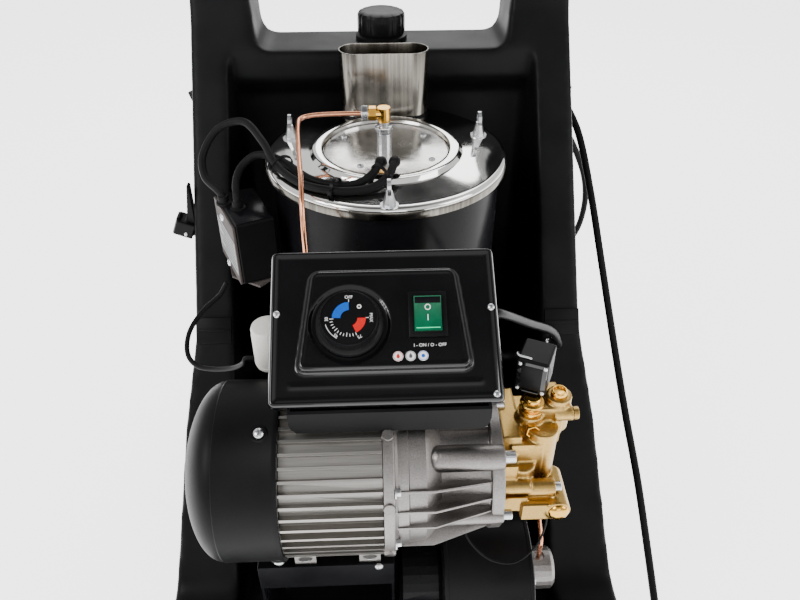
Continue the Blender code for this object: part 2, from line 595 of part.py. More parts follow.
def make_control_box():
    tilt = (PANEL_TILT, 0, 0)
    plate = rounded([(-PANEL_W / 2, -PANEL_L / 2, 0.006), (PANEL_W / 2, -PANEL_L / 2, 0.006),
                     (PANEL_W / 2, PANEL_L / 2, 0.006), (-PANEL_W / 2, PANEL_L / 2, 0.006)])
    panel = slab("control_panel", [plate], PANEL_T, GLOSS, on_panel(0, 0, PANEL_T / 2), tilt)
    shape = [(-0.078, -0.046, 0.008), (0.082, -0.046, 0.008), (0.066, 0.054, 0.010), (-0.062, 0.054, 0.010)]
    middle = CONSOLE_FOOT + CONSOLE_H / 2
    console = slab("console", [rounded(shape)], CONSOLE_H, GLOSS, on_panel(0, 0, middle), tilt)
    join(panel, console)
    shaft_hole = turned("knob_hole", [(0, 0.05), (0.006, 0.05), (0.006, -0.05), (0, -0.05)], GLOSS,
                        on_panel(KNOB_X, KNOB_S, 0), sides=16)
    shaft_hole.rotation_euler = tilt
    body_hole = panel_box("switch_hole", (-0.0150, -0.0190, -0.05), (0.0150, 0.0190, 0.05), ROCKER_X,
                          ROCKER_S, 0, GLOSS)
    cut(panel, shaft_hole, body_hole)
    surface = CONSOLE_FOOT + CONSOLE_H
    knob = [(0, surface + 0.0170), (0.0235, surface + 0.0170), (0.0247, surface + 0.0160),
            (0.0262, surface + 0.0060), (0.0300, surface + 0.0040), (0.0310, surface + 0.0010),
            (0.0310, surface + GAP), (0.0040, surface + GAP), (0.0040, -0.0020), (0, -0.0020)]
    panel_turned("thermostat_knob", knob, KNOB_X, KNOB_S, RUBBER, 24)
    body = [(0, -0.0023), (0.0160, -0.0023), (0.0160, -0.0180), (0, -0.0180)]
    panel_turned("thermostat_body", body, KNOB_X, KNOB_S, CREAM, 20)
    rim = rounded([(-0.0175, -0.0215, 0.003), (0.0175, -0.0215, 0.003), (0.0175, 0.0215, 0.003),
                   (-0.0175, 0.0215, 0.003)])
    frame = slab("switch_frame", [rim], 0.003, GREY, on_panel(ROCKER_X, ROCKER_S, surface + GAP + 0.0015),
                 tilt)
    sleeve = panel_box("switch_sleeve", (-0.0147, -0.0187, -0.0210), (0.0147, 0.0187, 0.0020), ROCKER_X,
                       ROCKER_S, surface, GREY)
    well = panel_box("switch_well", (-0.0130, -0.0172, -0.0090), (0.0130, 0.0172, 0.0300), ROCKER_X, ROCKER_S,
                     surface, GREY)
    join(frame, sleeve)
    cut(frame, well)
    panel_box("rocker", (-0.0126, -0.0164, -0.0030), (0.0126, 0.0164, 0.0050), ROCKER_X, ROCKER_S,
              surface + 0.0010, GREEN, 0.001, ROCKER_REST)

    low, back, front = 0.4700, -0.108, -0.231
    left, right, wall, high, corner = -0.0970, 0.0840, 0.0025, 0.6200, 0.0140
    outline = rounded([(left, low, corner), (right, low, corner), (right, high, corner),
                       (left, high, corner)])
    case = slab("control_box", [outline], back - front, GLOSS, (0, (front + back) / 2, 0), PLANE["XZ"])
    room_floor = SHAFT_Z + FIN_R + 0.0050
    inside = box("control_room", (left + wall, front + wall, room_floor), (right - wall, back - wall, high),
                 GLOSS)
    above = panel_box("above_panel", (-0.2, -0.2, -GAP), (0.2, 0.2, 0.3), 0, 0, 0, GLOSS)
    saddle = rod("motor_saddle", FIN_R + 0.0025, left - 0.1, right + 0.1, (SHAFT_Y, SHAFT_Z), GLOSS, "X", 72)
    cut(case, inside, above, saddle)
    rod("capacitor", 0.0170, 0.4625, 0.5120, (-0.1235, -0.1220), CREAM, "Z", 20)


def make_strap():
    """Sheathed loom from the control box to the front edge of the right chassis wall."""
    out_of_wall = Vector((0, -1, EDGE_SLOPE)).normalized()
    start = Vector((0.0843, -0.118, 0.5150))
    end = Vector((0.2120, edge_y(0.3500), 0.3500)) + out_of_wall * GAP
    before = end + out_of_wall * 0.0220
    route = [start, start + Vector((0.020, 0, 0)), start.lerp(before, 0.45) + Vector((0.010, 0, 0.008)),
             start.lerp(before, 0.80) + Vector((0.006, 0, 0.012)), before, end]
    tube("panel_strap", smooth_route(route, 0.016), 0.0050, MOULDED)


# ------------------------------------------------------------------ blower and fuel pump
def blower_piece(name, profile, material, sides=24, ring=False):
    return turned(name, profile, material, (0, BLOWER_Y, BLOWER_Z), "X", sides, ring)


def make_blower():
    left, right = BLOWER_LEFT, BLOWER_RIGHT
    case = [(BLOWER_R, right), (BLOWER_R, left), (0.0200, left), (0.0200, left + 0.003),
            (0.0720, left + 0.003), (0.0720, right - 0.003), (0.0350, right - 0.003), (0.0350, right)]
    case = blower_piece("blower_housing", case, MOULDED, 28, True)
    cut(case, box("blower_outlet", (DUCT_LEFT, -0.16, DUCT_LOW), (DUCT_RIGHT, -0.09, DUCT_HIGH), MOULDED))
    blades = [star(20, 0.0520, 0.0620, 0.35), circle(0.0043, 12)]
    slab("blower_impeller", blades, 0.060, GREY, ((left + right) / 2, BLOWER_Y, BLOWER_Z),
         (math.pi / 2, 0, math.pi / 2))
    drive = [(0, 0.1400), (0.0040, 0.1400), (0.0040, left - GAP), (0.0400, left - GAP),
             (0.0420, left - 0.004), (0.0420, 0.0060), (0.0380, 0.0020), (0, 0.0020)]
    blower_piece("blower_motor", drive, ENAMEL, 28)
    pump = [(0, 0.1820), (0.0200, 0.1820), (0.0240, 0.1780), (0.0240, 0.1560), (0.0380, 0.1530),
            (0.0380, right + GAP), (0, right + GAP)]
    pump = blower_piece("fuel_pump", pump, ALLOY, 24)
    cut(pump, rod("pump_flat", 0.0060, 0.2115, 0.26, (0.1650, BLOWER_Y), ALLOY, "Z", 16))
    left, right = DUCT_LEFT - DUCT_WALL, DUCT_RIGHT + DUCT_WALL
    low, high, corner = DUCT_LOW - DUCT_WALL, DUCT_HIGH + DUCT_WALL, 0.004
    duct = rounded([(left, low, corner), (right, low, corner), (right, high, corner), (left, high, corner)])
    bore = [(DUCT_LEFT, DUCT_LOW), (DUCT_RIGHT, DUCT_LOW), (DUCT_RIGHT, DUCT_HIGH), (DUCT_LEFT, DUCT_HIGH)]
    duct = slab("air_duct", [duct, bore], 0.200, ENAMEL, (0, -0.060, 0), PLANE["XZ"])
    cut(duct, rod("duct_front", BLOWER_R + GAP, 0.0, 0.3, (BLOWER_Y, BLOWER_Z), ENAMEL, "X", 36),
        rod("duct_rear", JACKET_R + GAP, 0.0, 0.4, (0, BOILER_Y), ENAMEL, "Z", 48))


# ------------------------------------------------------------------ mains cord
GLAND_AT = Vector((0.2797, -0.260, 0.092))

LOWER_ROUTE = [(0.3280, -0.2600, 0.0920), (0.3480, -0.2600, 0.0920), (0.3720, -0.2620, 0.0780),
               (0.3920, -0.2680, 0.0480), (0.4130, -0.2790, 0.0180), (0.4350, -0.2960, 0.0060),
               (0.4520, -0.3280, 0.0055), (0.4470, -0.3660, 0.0055), (0.4140, -0.3880, 0.0055),
               (0.3760, -0.3760, 0.0055), (0.3560, -0.3380, 0.0055), (0.3490, -0.2900, 0.0065),
               (0.3440, -0.2450, 0.0180), (0.3400, -0.1950, 0.0480), (0.3360, -0.1300, 0.1050),
               (0.3280, -0.0600, 0.1780), (0.3180, 0.0100, 0.2450), (0.3090, 0.0800, 0.3150),
               (0.2990, 0.1500, 0.3920), (0.2890, 0.2150, 0.4650), (0.2780, 0.2750, 0.5250),
               (0.2640, 0.3200, 0.5540), (0.2550, 0.3620, 0.5620), (0.2590, 0.3920, 0.5420),
               (0.2800, 0.4020, 0.4980), (0.3130, 0.4030, 0.4450), (0.3370, 0.4010, 0.3900),
               (0.3440, 0.4000, 0.3350), (0.3330, 0.4000, 0.2800), (0.2950, 0.4000, 0.2380),
               (0.2300, 0.4000, 0.2200), (0.1500, 0.4000, 0.2350), (0.0700, 0.3950, 0.2780),
               (0.0000, 0.3800, 0.3350), (-0.0330, 0.3600, 0.3950), (-0.0525, 0.3480, 0.4500),
               (-0.0582, 0.3460, 0.4920)]


def make_cord():
    gland = [(0, 0.0480), (0.0075, 0.0480), (0.0100, 0.0220), (0.0140, 0.0200), (0.0140, 0.0080),
             (0.0170, 0.0070), (0.0170, 0), (0, 0)]
    turned("cord_gland", gland, MOULDED, GLAND_AT, "X", 20)
    tube("cord_lower", smooth_route(LOWER_ROUTE, 0.0360), CORD_R, RUBBER)
    middle_z = HOOK_Z + HOOK_R + 0.0005 - COIL_IN
    ring = [(COIL_OUT, 0.3577), (COIL_OUT, 0.3363), (COIL_IN, 0.3363), (COIL_IN, 0.3577)]
    turned("cord_coil", ring, RUBBER, (-HOOK_X, 0, middle_z), "Y", 28, True)
    beside = -HOOK_X - COIL_OUT - CORD_R - 2 * GAP
    upper = [(beside, 0.3460, middle_z), (beside - 0.001, 0.3490, middle_z - 0.024),
             (beside - 0.001, 0.3580, middle_z - 0.054), (beside - 0.001, 0.3580, middle_z - 0.076)]
    tube("cord_upper", smooth_route(upper, 0.0200), CORD_R, RUBBER)
    plug = [(0, 0.0), (0.0070, 0.0), (0.0085, -0.0220), (0.0150, -0.0300), (0.0190, -0.0360),
            (0.0190, -0.0600), (0, -0.0600)]
    plug_at = Vector(upper[-1]) - Vector((0, 0, GAP))
    turned("mains_plug", plug, RUBBER, plug_at, sides=20)
    for x_side in (1, -1):
        stem = Vector((HOOK_X * x_side, BACK_OUT + GAP, HOOK_Z))
        corner = Vector((HOOK_X * x_side, HOOK_Y, HOOK_Z))
        end = Vector((HOOK_END * x_side, HOOK_Y, HOOK_Z))
        tip = end + Vector((0.005 * x_side, 0, 0.018))
        bend = 0.008
        route = [stem, corner - Vector((0, bend, 0)), corner - Vector((-0.002 * x_side, 0.002, 0)),
                 corner + Vector((bend * x_side, 0, 0)), end, tip]
        tube("cord_hook_" + mirrored(x_side), route, HOOK_R, MOULDED)


make_chassis()
make_running_gear()
make_hood_latch()
make_filler()
make_boiler()
make_lid_nuts()
make_burner_head()
make_ignition()
make_motor()
make_motor_bracket()
make_pump()
make_pump_head()
make_control_box()
make_strap()
make_blower()
make_cord()
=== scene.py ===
"""Looks of the steam cleaner: materials for its CAD nodes, and the finer pieces that ride on them."""
import math

import bmesh
import bpy
from mathutils import Matrix, Vector


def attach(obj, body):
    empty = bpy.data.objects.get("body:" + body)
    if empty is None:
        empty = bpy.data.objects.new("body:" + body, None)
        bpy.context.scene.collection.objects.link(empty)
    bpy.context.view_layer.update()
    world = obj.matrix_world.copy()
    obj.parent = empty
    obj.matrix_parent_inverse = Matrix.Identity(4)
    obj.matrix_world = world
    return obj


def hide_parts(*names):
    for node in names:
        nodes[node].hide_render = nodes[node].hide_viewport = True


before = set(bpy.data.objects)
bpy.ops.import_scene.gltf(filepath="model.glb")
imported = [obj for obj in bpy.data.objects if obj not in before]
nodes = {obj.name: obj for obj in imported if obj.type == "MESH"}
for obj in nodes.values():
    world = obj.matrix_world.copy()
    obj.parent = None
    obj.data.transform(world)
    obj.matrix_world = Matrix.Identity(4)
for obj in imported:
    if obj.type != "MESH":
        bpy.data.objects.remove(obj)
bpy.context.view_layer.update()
MACHINE = "machine"
RIGHT, FRONT, UP = Vector((1, 0, 0)), Vector((0, -1, 0)), Vector((0, 0, 1))
move = Matrix.Translation


def turned(degrees, axis):
    """A turn about one of the frame's axes."""
    return Matrix.Rotation(math.radians(degrees), 4, axis)


def mm(*points):
    """Points given in millimetres, in metres as the frame has them."""
    return [tuple(value / 1000 for value in point) for point in points]


# ------------------------------------------------------------------ places shared with the CAD part
SHAFT = Vector((0.0, -0.199, 0.391))        # axis of motor and pump, along X
BOILER = Vector((0.0, 0.112, 0.0))          # axis of the boiler, along Z
FLUE = move((0.001, 0.226, 0.0))            # axis of the chimney, along Z
FILLER = move((0.0, 0.315, 0.0))            # axis of the filler neck and cap, along Z
BLOWER = Vector((0.0, -0.19, 0.19))         # axis of the blower, along X
WHEEL_OUT, WHEEL_Y, WHEEL_R = 0.273, 0.262, 0.125
WALL_FOOT_Y, WALL_FOOT_Z, WALL_SLOPE = -0.168, 0.095, 0.767   # front edge of the side walls
PANEL = move((-0.009, -0.164, 0.5395)) @ turned(32.7, "X")
PANEL_W, PANEL_L = 0.21, 0.15
CONSOLE_FACE = 0.011                        # the console's height above the panel's frame
KNOB, SWITCH = (-0.0317, -0.001), (0.039, 0.006)  # their centres on the panel
ALONG_X = turned(90, "Y")
ON_EDGE = turned(90, "X")
SHAFT_AXIS = move(SHAFT) @ ALONG_X


# ------------------------------------------------------------------ materials
def shader_node(tree, kind, **values):
    """A new node with the values of its named inputs; an underscore in a name stands for a space."""
    made = tree.nodes.new("ShaderNode" + kind)
    for socket, value in values.items():
        made.inputs[socket.replace("_", " ")].default_value = value
    return made


def set_ramp(ramp, first, last):
    """Give a colour ramp's two ends their (position, colour)."""
    for element, (position, colour) in zip(ramp.color_ramp.elements, (first, last)):
        element.position, element.color = position, (*colour, 1.0)


GRAIN_SHARE = 0.4                           # of the fine grain in the colour; the rest is slow change
LOW_SHINE, COATED_SHINE, METAL_SHINE = 0.08, 0.2, 0.5


def surface(name, dark, light, rough, metallic=0.0, grain=500.0, bump=0.1, depth=0.0003,
            stretch=(1.0, 1.0, 1.0), spread=0.06, patch=14.0, coat=0.0):
    """A material with fine grain in its relief, and slow change in its colour and gloss."""
    made = bpy.data.materials.new(name)
    made.use_nodes = True
    tree = made.node_tree
    shader = tree.nodes["Principled BSDF"]
    place = shader_node(tree, "TexCoord")
    scaled = shader_node(tree, "Mapping", Scale=stretch)
    fine = shader_node(tree, "TexNoise", Scale=grain, Detail=4.0)
    slow = shader_node(tree, "TexNoise", Scale=patch, Detail=5.0)
    both, rest = shader_node(tree, "Math"), shader_node(tree, "Math")
    both.operation, both.inputs[1].default_value = "MULTIPLY_ADD", GRAIN_SHARE
    rest.operation, rest.inputs[1].default_value = "MULTIPLY", 1 - GRAIN_SHARE
    ramp = shader_node(tree, "ValToRGB")
    set_ramp(ramp, (0.35, dark), (0.65, light))
    gloss = shader_node(tree, "MapRange", From_Min=0.3, From_Max=0.7, To_Min=max(0.02, rough - spread),
                        To_Max=rough + spread)
    relief = shader_node(tree, "Bump", Strength=bump, Distance=depth)
    for source, target in ((place.outputs["Object"], scaled.inputs["Vector"]),
                           (scaled.outputs["Vector"], fine.inputs["Vector"]),
                           (scaled.outputs["Vector"], slow.inputs["Vector"]),
                           (fine.outputs["Fac"], both.inputs[0]),
                           (slow.outputs["Fac"], rest.inputs[0]),
                           (rest.outputs[0], both.inputs[2]),
                           (both.outputs[0], ramp.inputs["Fac"]),
                           (ramp.outputs["Color"], shader.inputs["Base Color"]),
                           (slow.outputs["Fac"], gloss.inputs["Value"]),
                           (gloss.outputs["Result"], shader.inputs["Roughness"]),
                           (fine.outputs["Fac"], relief.inputs["Height"]),
                           (relief.outputs["Normal"], shader.inputs["Normal"])):
        tree.links.new(source, target)
    shader.inputs["Metallic"].default_value = metallic
    shine = METAL_SHINE if metallic else COATED_SHINE if coat else LOW_SHINE
    shader.inputs["Specular IOR Level"].default_value = shine
    shader.inputs["Coat Weight"].default_value = coat
    shader.inputs["Coat Roughness"].default_value = 0.04
    return made


def lit(made, colour, strength):
    """Make a material glow a little, as a lamp behind it does."""
    shader = made.node_tree.nodes["Principled BSDF"]
    shader.inputs["Emission Color"].default_value = (*colour, 1.0)
    shader.inputs["Emission Strength"].default_value = strength
    return made


MOULDED = surface("moulded_black", (0.0035, 0.0035, 0.004), (0.007, 0.007, 0.0075), 0.42, grain=1300,
                  bump=0.3)
GLOSS = surface("gloss_black", (0.002, 0.002, 0.0025), (0.004, 0.004, 0.0045), 0.1, grain=45, bump=0.03,
                depth=0.0006, spread=0.03, coat=0.6)
SATIN = surface("satin_black", (0.004, 0.004, 0.0045), (0.008, 0.008, 0.0085), 0.34, grain=900, bump=0.16)
RUBBER = surface("rubber", (0.005, 0.005, 0.005), (0.01, 0.01, 0.01), 0.52, grain=700, bump=0.14)
TYRE = surface("tyre", (0.014, 0.014, 0.014), (0.03, 0.029, 0.028), 0.75, grain=500, bump=0.35)
ENAMEL = surface("enamel_black", (0.0035, 0.0035, 0.0045), (0.007, 0.007, 0.008), 0.24, grain=260, bump=0.1)
POLISHED = surface("polished_steel", (0.74, 0.73, 0.71), (0.84, 0.83, 0.81), 0.07, 1.0, grain=70, bump=0.015,
                   spread=0.03)
BRUSHED = surface("brushed_steel", (0.06, 0.054, 0.045), (0.24, 0.225, 0.2), 0.19, 1.0, grain=300, bump=0.12,
                  stretch=(1, 1, 0.02), spread=0.07, patch=60)
MOTTLED = surface("mottled_steel", (0.46, 0.45, 0.43), (0.68, 0.67, 0.65), 0.2, 1.0, grain=160, bump=0.05,
                  patch=45, spread=0.08)
PLATE = surface("plate_steel", (0.05, 0.042, 0.04), (0.095, 0.082, 0.078), 0.5, grain=500, bump=0.12)
ZINC = surface("zinc_steel", (0.52, 0.53, 0.55), (0.72, 0.72, 0.73), 0.28, 1.0, grain=350, bump=0.1)
CAST = surface("cast_alloy", (0.185, 0.172, 0.165), (0.32, 0.305, 0.295), 0.4, 1.0, grain=650, bump=0.55,
               depth=0.0005, spread=0.09)
DRAWN = surface("extruded_alloy", (0.24, 0.23, 0.215), (0.37, 0.355, 0.335), 0.34, 1.0, grain=700, bump=0.25,
                stretch=(0.04, 1, 1))
BRASS = surface("forged_brass", (0.33, 0.205, 0.055), (0.53, 0.345, 0.115), 0.33, 1.0, grain=480, bump=0.35,
                spread=0.1)
GOLD = surface("turned_brass", (0.6, 0.31, 0.045), (0.78, 0.46, 0.1), 0.17, 1.0, grain=300, bump=0.08)
COPPER = surface("copper", (0.66, 0.26, 0.13), (0.86, 0.42, 0.26), 0.24, 1.0, grain=260, bump=0.08)
CREAM = surface("cream_plastic", (0.62, 0.6, 0.55), (0.76, 0.74, 0.69), 0.42, grain=400, bump=0.08)
GREY = surface("grey_plastic", (0.06, 0.06, 0.065), (0.095, 0.095, 0.1), 0.45, grain=900, bump=0.2)
LABEL = surface("label_silver", (0.26, 0.26, 0.265), (0.38, 0.38, 0.385), 0.45, grain=600, bump=0.05)
# White for printed marks, also used for the painted highlight on the dial.
WHITE = surface("white_print_and_painted_highlight", (0.78, 0.78, 0.77), (0.88, 0.88, 0.87), 0.45, grain=800, bump=0.05)
BLUE = surface("print_blue", (0.008, 0.085, 0.46), (0.012, 0.12, 0.56), 0.4, grain=800, bump=0.05)
RED = surface("print_red", (0.56, 0.01, 0.01), (0.68, 0.022, 0.018), 0.4, grain=800, bump=0.05)
GREEN = lit(surface("green_lens", (0, 0.05, 0.022), (0.002, 0.11, 0.05), 0.1, grain=120, bump=0.05,
                    coat=0.6), (0.01, 0.4, 0.17), 0.1)
GLOW = lit(surface("green_glow", (0.02, 0.45, 0.2), (0.05, 0.6, 0.3), 0.2, grain=120), (0.05, 0.8, 0.38), 0.6)

SLOTS = {name: name for name in ("moulded_black", "gloss_black", "rubber", "tyre", "enamel_black",
                                 "zinc_steel", "polished_steel", "cast_alloy", "copper", "cream_plastic",
                                 "grey_plastic", "green_lens")}
SLOTS.update(satin_black="moulded_black", brushed_steel="polished_steel", mottled_steel="polished_steel",
             extruded_alloy="cast_alloy", forged_brass="brass", turned_brass="brass",
             plate_steel="zinc_steel")

CAD_LOOKS = {
    MOULDED: "chassis fan_cowl filler_neck filler_cap cord_gland cord_hook_left cord_hook_right panel_strap",
    SATIN: "control_box blower_housing foot_left foot_right hood_latch pressure_switch ignition_transformer "
           "mains_plug",
    GLOSS: "control_panel",
    RUBBER: "ignition_lead_front ignition_lead_rear transformer_lead thermostat_knob "
            "cord_lower cord_upper cord_coil",
    TYRE: "tyre_left tyre_right",
    ENAMEL: "boiler_base boiler_jacket motor_bracket blower_motor air_duct",
    POLISHED: "boiler_lid burner_head_plate",
    BRUSHED: "chimney",
    ZINC: "wheel_axle lid_nut_front lid_nut_left lid_nut_right nozzle_holder rotor_shaft "
          "swash_plate pump_bolt heating_coil",
    PLATE: "transformer_bracket",
    CAST: "motor_end_shield crankcase fuel_pump",
    DRAWN: "motor_body",
    BRASS: "pump_head",
    GOLD: "nozzle_elbow",
    COPPER: "fuel_pipe stator",
    CREAM: "capacitor thermostat_body",
    GREY: "wheel_rim_left wheel_rim_right cooling_fan switch_frame blower_impeller",
    GREEN: "rocker",
}


def dress_nodes():
    """Give every CAD node its material."""
    for look, names in CAD_LOOKS.items():
        for name in names.split():
            node = nodes[name]
            for holder in node.material_slots:
                holder.material = look


def soften(name, width, segments=3):
    """Round a CAD node's sharp edges with modifiers, which leave its own mesh as it is."""
    weld = nodes[name].modifiers.new("weld", "WELD")
    weld.merge_threshold = 0.00002
    edges = nodes[name].modifiers.new("edges", "BEVEL")
    edges.width = width
    edges.segments = segments
    edges.limit_method = "ANGLE"
    edges.angle_limit = math.radians(40)
    edges.harden_normals = True


# ------------------------------------------------------------------ shape helpers
def piece(name, mesh, look, body=MACHINE, sharp=35.0):
    """A finished mesh as a piece that rides on a body."""
    mesh.materials.clear()
    mesh.materials.append(look)
    mesh.shade_smooth()
    mesh.set_sharp_from_angle(angle=math.radians(sharp))
    return ride(bpy.data.objects.new(name, mesh), look, body)


def ride(made, look, body):
    """Put an object in the scene, riding on a body; the look is not used."""
    bpy.context.scene.collection.objects.link(made)
    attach(made, body)
    return made


def from_shape(name, shape, look, body=MACHINE, at=None, bevel=0.0, sharp=35.0):
    """A bmesh as a piece, moved to its place, its sharp edges rounded if bevel is given."""
    if at is not None:
        placed(shape, at)
    bmesh.ops.recalc_face_normals(shape, faces=shape.faces)
    if bevel:
        sharp_edges = [e for e in shape.edges if len(e.link_faces) == 2 and e.calc_face_angle() > 0.6]
        bmesh.ops.bevel(shape, geom=sharp_edges, offset=bevel, segments=2, profile=0.5, affect="EDGES",
                        clamp_overlap=True)
    mesh = bpy.data.meshes.new(name)
    shape.to_mesh(mesh)
    shape.free()
    return piece(name, mesh, look, body, sharp)


def block(low, high):
    shape = bmesh.new()
    bmesh.ops.create_cube(shape, size=1.0)
    low, high = Vector(low), Vector(high)
    bmesh.ops.scale(shape, vec=high - low, verts=shape.verts)
    bmesh.ops.translate(shape, vec=(low + high) / 2, verts=shape.verts)
    return shape


def slab(half_width, half_length, low, high):
    """A block centred on X and Y."""
    return block((-half_width, -half_length, low), (half_width, half_length, high))


def placed(shape, matrix):
    """A bmesh moved to its place."""
    bmesh.ops.transform(shape, matrix=matrix, verts=shape.verts)
    return shape


def lathe(profile, sides=64, ring=False):
    """A profile of (radius, height) points turned about Z."""
    shape = bmesh.new()
    rows = []
    for radius, height in profile:
        if radius < 1e-7:
            rows.append([shape.verts.new((0, 0, height))])
            continue
        turn = [2 * math.pi * k / sides for k in range(sides)]
        rows.append([shape.verts.new((radius * math.cos(a), radius * math.sin(a), height)) for a in turn])
    pairs = list(zip(rows, rows[1:]))
    if ring:
        pairs.append((rows[-1], rows[0]))
    for upper, lower in pairs:
        if len(upper) == len(lower) == 1:
            continue
        for k in range(sides):
            after = (k + 1) % sides
            if len(upper) == 1:
                shape.faces.new((upper[0], lower[k], lower[after]))
            elif len(lower) == 1:
                shape.faces.new((upper[k], lower[0], upper[after]))
            else:
                shape.faces.new((upper[k], lower[k], lower[after], upper[after]))
    return shape


def prism(outline, low, high):
    """A flat outline of (x, y) points given a thickness along Z."""
    shape = bmesh.new()
    floor = [shape.verts.new((x, y, low)) for x, y in outline]
    roof = [shape.verts.new((x, y, high)) for x, y in outline]
    shape.faces.new(list(reversed(floor)))
    shape.faces.new(roof)
    count = len(outline)
    for i in range(count):
        j = (i + 1) % count
        shape.faces.new((floor[i], floor[j], roof[j], roof[i]))
    return shape


def ngon(radius, sides, start=0.0):
    return [(radius * math.cos(start + 2 * math.pi * k / sides),
             radius * math.sin(start + 2 * math.pi * k / sides)) for k in range(sides)]


def cut_away(made, cutter_shape):
    """Cut a shape out of a piece and keep the result as the piece's own mesh."""
    bmesh.ops.recalc_face_normals(cutter_shape, faces=cutter_shape.faces)
    mesh = bpy.data.meshes.new("cutter")
    cutter_shape.to_mesh(mesh)
    cutter_shape.free()
    cutter = bpy.data.objects.new("cutter", mesh)
    bpy.context.scene.collection.objects.link(cutter)
    step = made.modifiers.new("cut", "BOOLEAN")
    step.operation = "DIFFERENCE"
    step.object = cutter
    bpy.context.view_layer.update()
    seen = made.evaluated_get(bpy.context.evaluated_depsgraph_get())
    result = bpy.data.meshes.new_from_object(seen)
    made.modifiers.remove(step)
    made.data = result
    result.set_sharp_from_angle(angle=math.radians(35))
    bpy.data.objects.remove(cutter, do_unlink=True)
    return made


def smooth_route(points, spacing):
    """Evenly spaced points on one smooth curve through the route's own points."""
    knots = [Vector(p) for p in points]
    knots = [2 * knots[0] - knots[1]] + knots + [2 * knots[-1] - knots[-2]]
    fine = []
    for a, b, c, d in zip(knots, knots[1:], knots[2:], knots[3:]):
        for k in range(24):
            t = k / 24
            fine.append(0.5 * (2 * b + (c - a) * t + (2 * a - 5 * b + 4 * c - d) * t ** 2
                               + (3 * b - a - 3 * c + d) * t ** 3))
    fine.append(knots[-2])
    kept = [fine[0]]
    for point in fine[1:-1]:
        if (point - kept[-1]).length >= spacing:
            kept.append(point)
    return kept + [fine[-1]]


def wire(name, points, radius, look, body=MACHINE):
    """A round wire, pipe or cord along the points."""
    curve = bpy.data.curves.new(name, "CURVE")
    curve.dimensions = "3D"
    curve.bevel_depth = radius
    curve.bevel_resolution = 5
    curve.use_fill_caps = True
    spline = curve.splines.new("POLY")
    spline.points.add(len(points) - 1)
    for point, where in zip(spline.points, points):
        point.co = (*where, 1.0)
    spline.use_smooth = True
    curve.materials.append(look)
    return ride(bpy.data.objects.new(name, curve), look, body)


def facing(where, normal, spin=0.0):
    """Placement that turns local Z to a normal at a point."""
    turn = Vector(normal).to_track_quat("Z", "Y").to_matrix().to_4x4()
    return move(where) @ turn @ Matrix.Rotation(spin, 4, "Z")


# ------------------------------------------------------------------ fasteners
def domed_screw(name, where, normal, radius, spin=0.3, look=ZINC):
    """Domed cross-head screw."""
    rise = radius * 0.62
    dome = [(radius * math.sin(a), rise * math.cos(a)) for a in [k * math.pi / 14 for k in range(8)]]
    shape = lathe(dome + [(radius, -0.001), (0, -0.001)], 28)
    made = from_shape(name, shape, look, sharp=50)
    arm, slot = radius * 0.55, radius * 0.12
    cut_away(made, slab(arm, slot, rise * 0.45, rise * 2))
    cut_away(made, slab(slot, arm, rise * 0.45, rise * 2))
    made.data.transform(facing(where, normal, spin))
    return made


def hex_bolt(name, where, normal, across, height, look=ZINC, spin=0.2):
    """Hexagon bolt on its washer."""
    at, rim = facing(where, normal, spin), across * 0.95
    from_shape(name + "_washer", lathe([(0, 0.0012), (rim, 0.0012), (rim, 0), (0, 0)], 32), look, at=at)
    return from_shape(name, prism(ngon(across * 0.577, 6), 0.001, height), look, at=at, bevel=0.0006)


def socket_bolt(name, where, normal, radius, height, look=ZINC):
    """Cylinder-head bolt with a hexagon socket."""
    edge = radius * 0.12
    made = from_shape(name, lathe([(0, height), (radius - edge, height), (radius, height - edge),
                                   (radius, 0), (0, 0)], 40), look)
    cut_away(made, prism(ngon(radius * 0.55, 6), height * 0.45, height * 2))
    made.data.transform(facing(where, normal))
    return made


def cable_tie(name, where, along, radius):
    """Flat nylon band round a bundle, with its lock."""
    at = facing(where, along)
    inner, outer, half = radius, radius + 0.0011, 0.0018
    band = [(outer, half), (outer, -half), (inner, -half), (inner, half)]
    from_shape(name, lathe(band, 28, True), SATIN, at=at)
    lock = block((outer - 0.001, -0.0025, -0.0028), (outer + 0.003, 0.0025, 0.0028))
    from_shape(name + "_lock", lock, SATIN, at=at, bevel=0.0005)


# ------------------------------------------------------------------ camera, light and floor
FLOOR_HALF, FLOOR_GLOW = 6.0, 2.6           # half the floor's width in metres; its own light


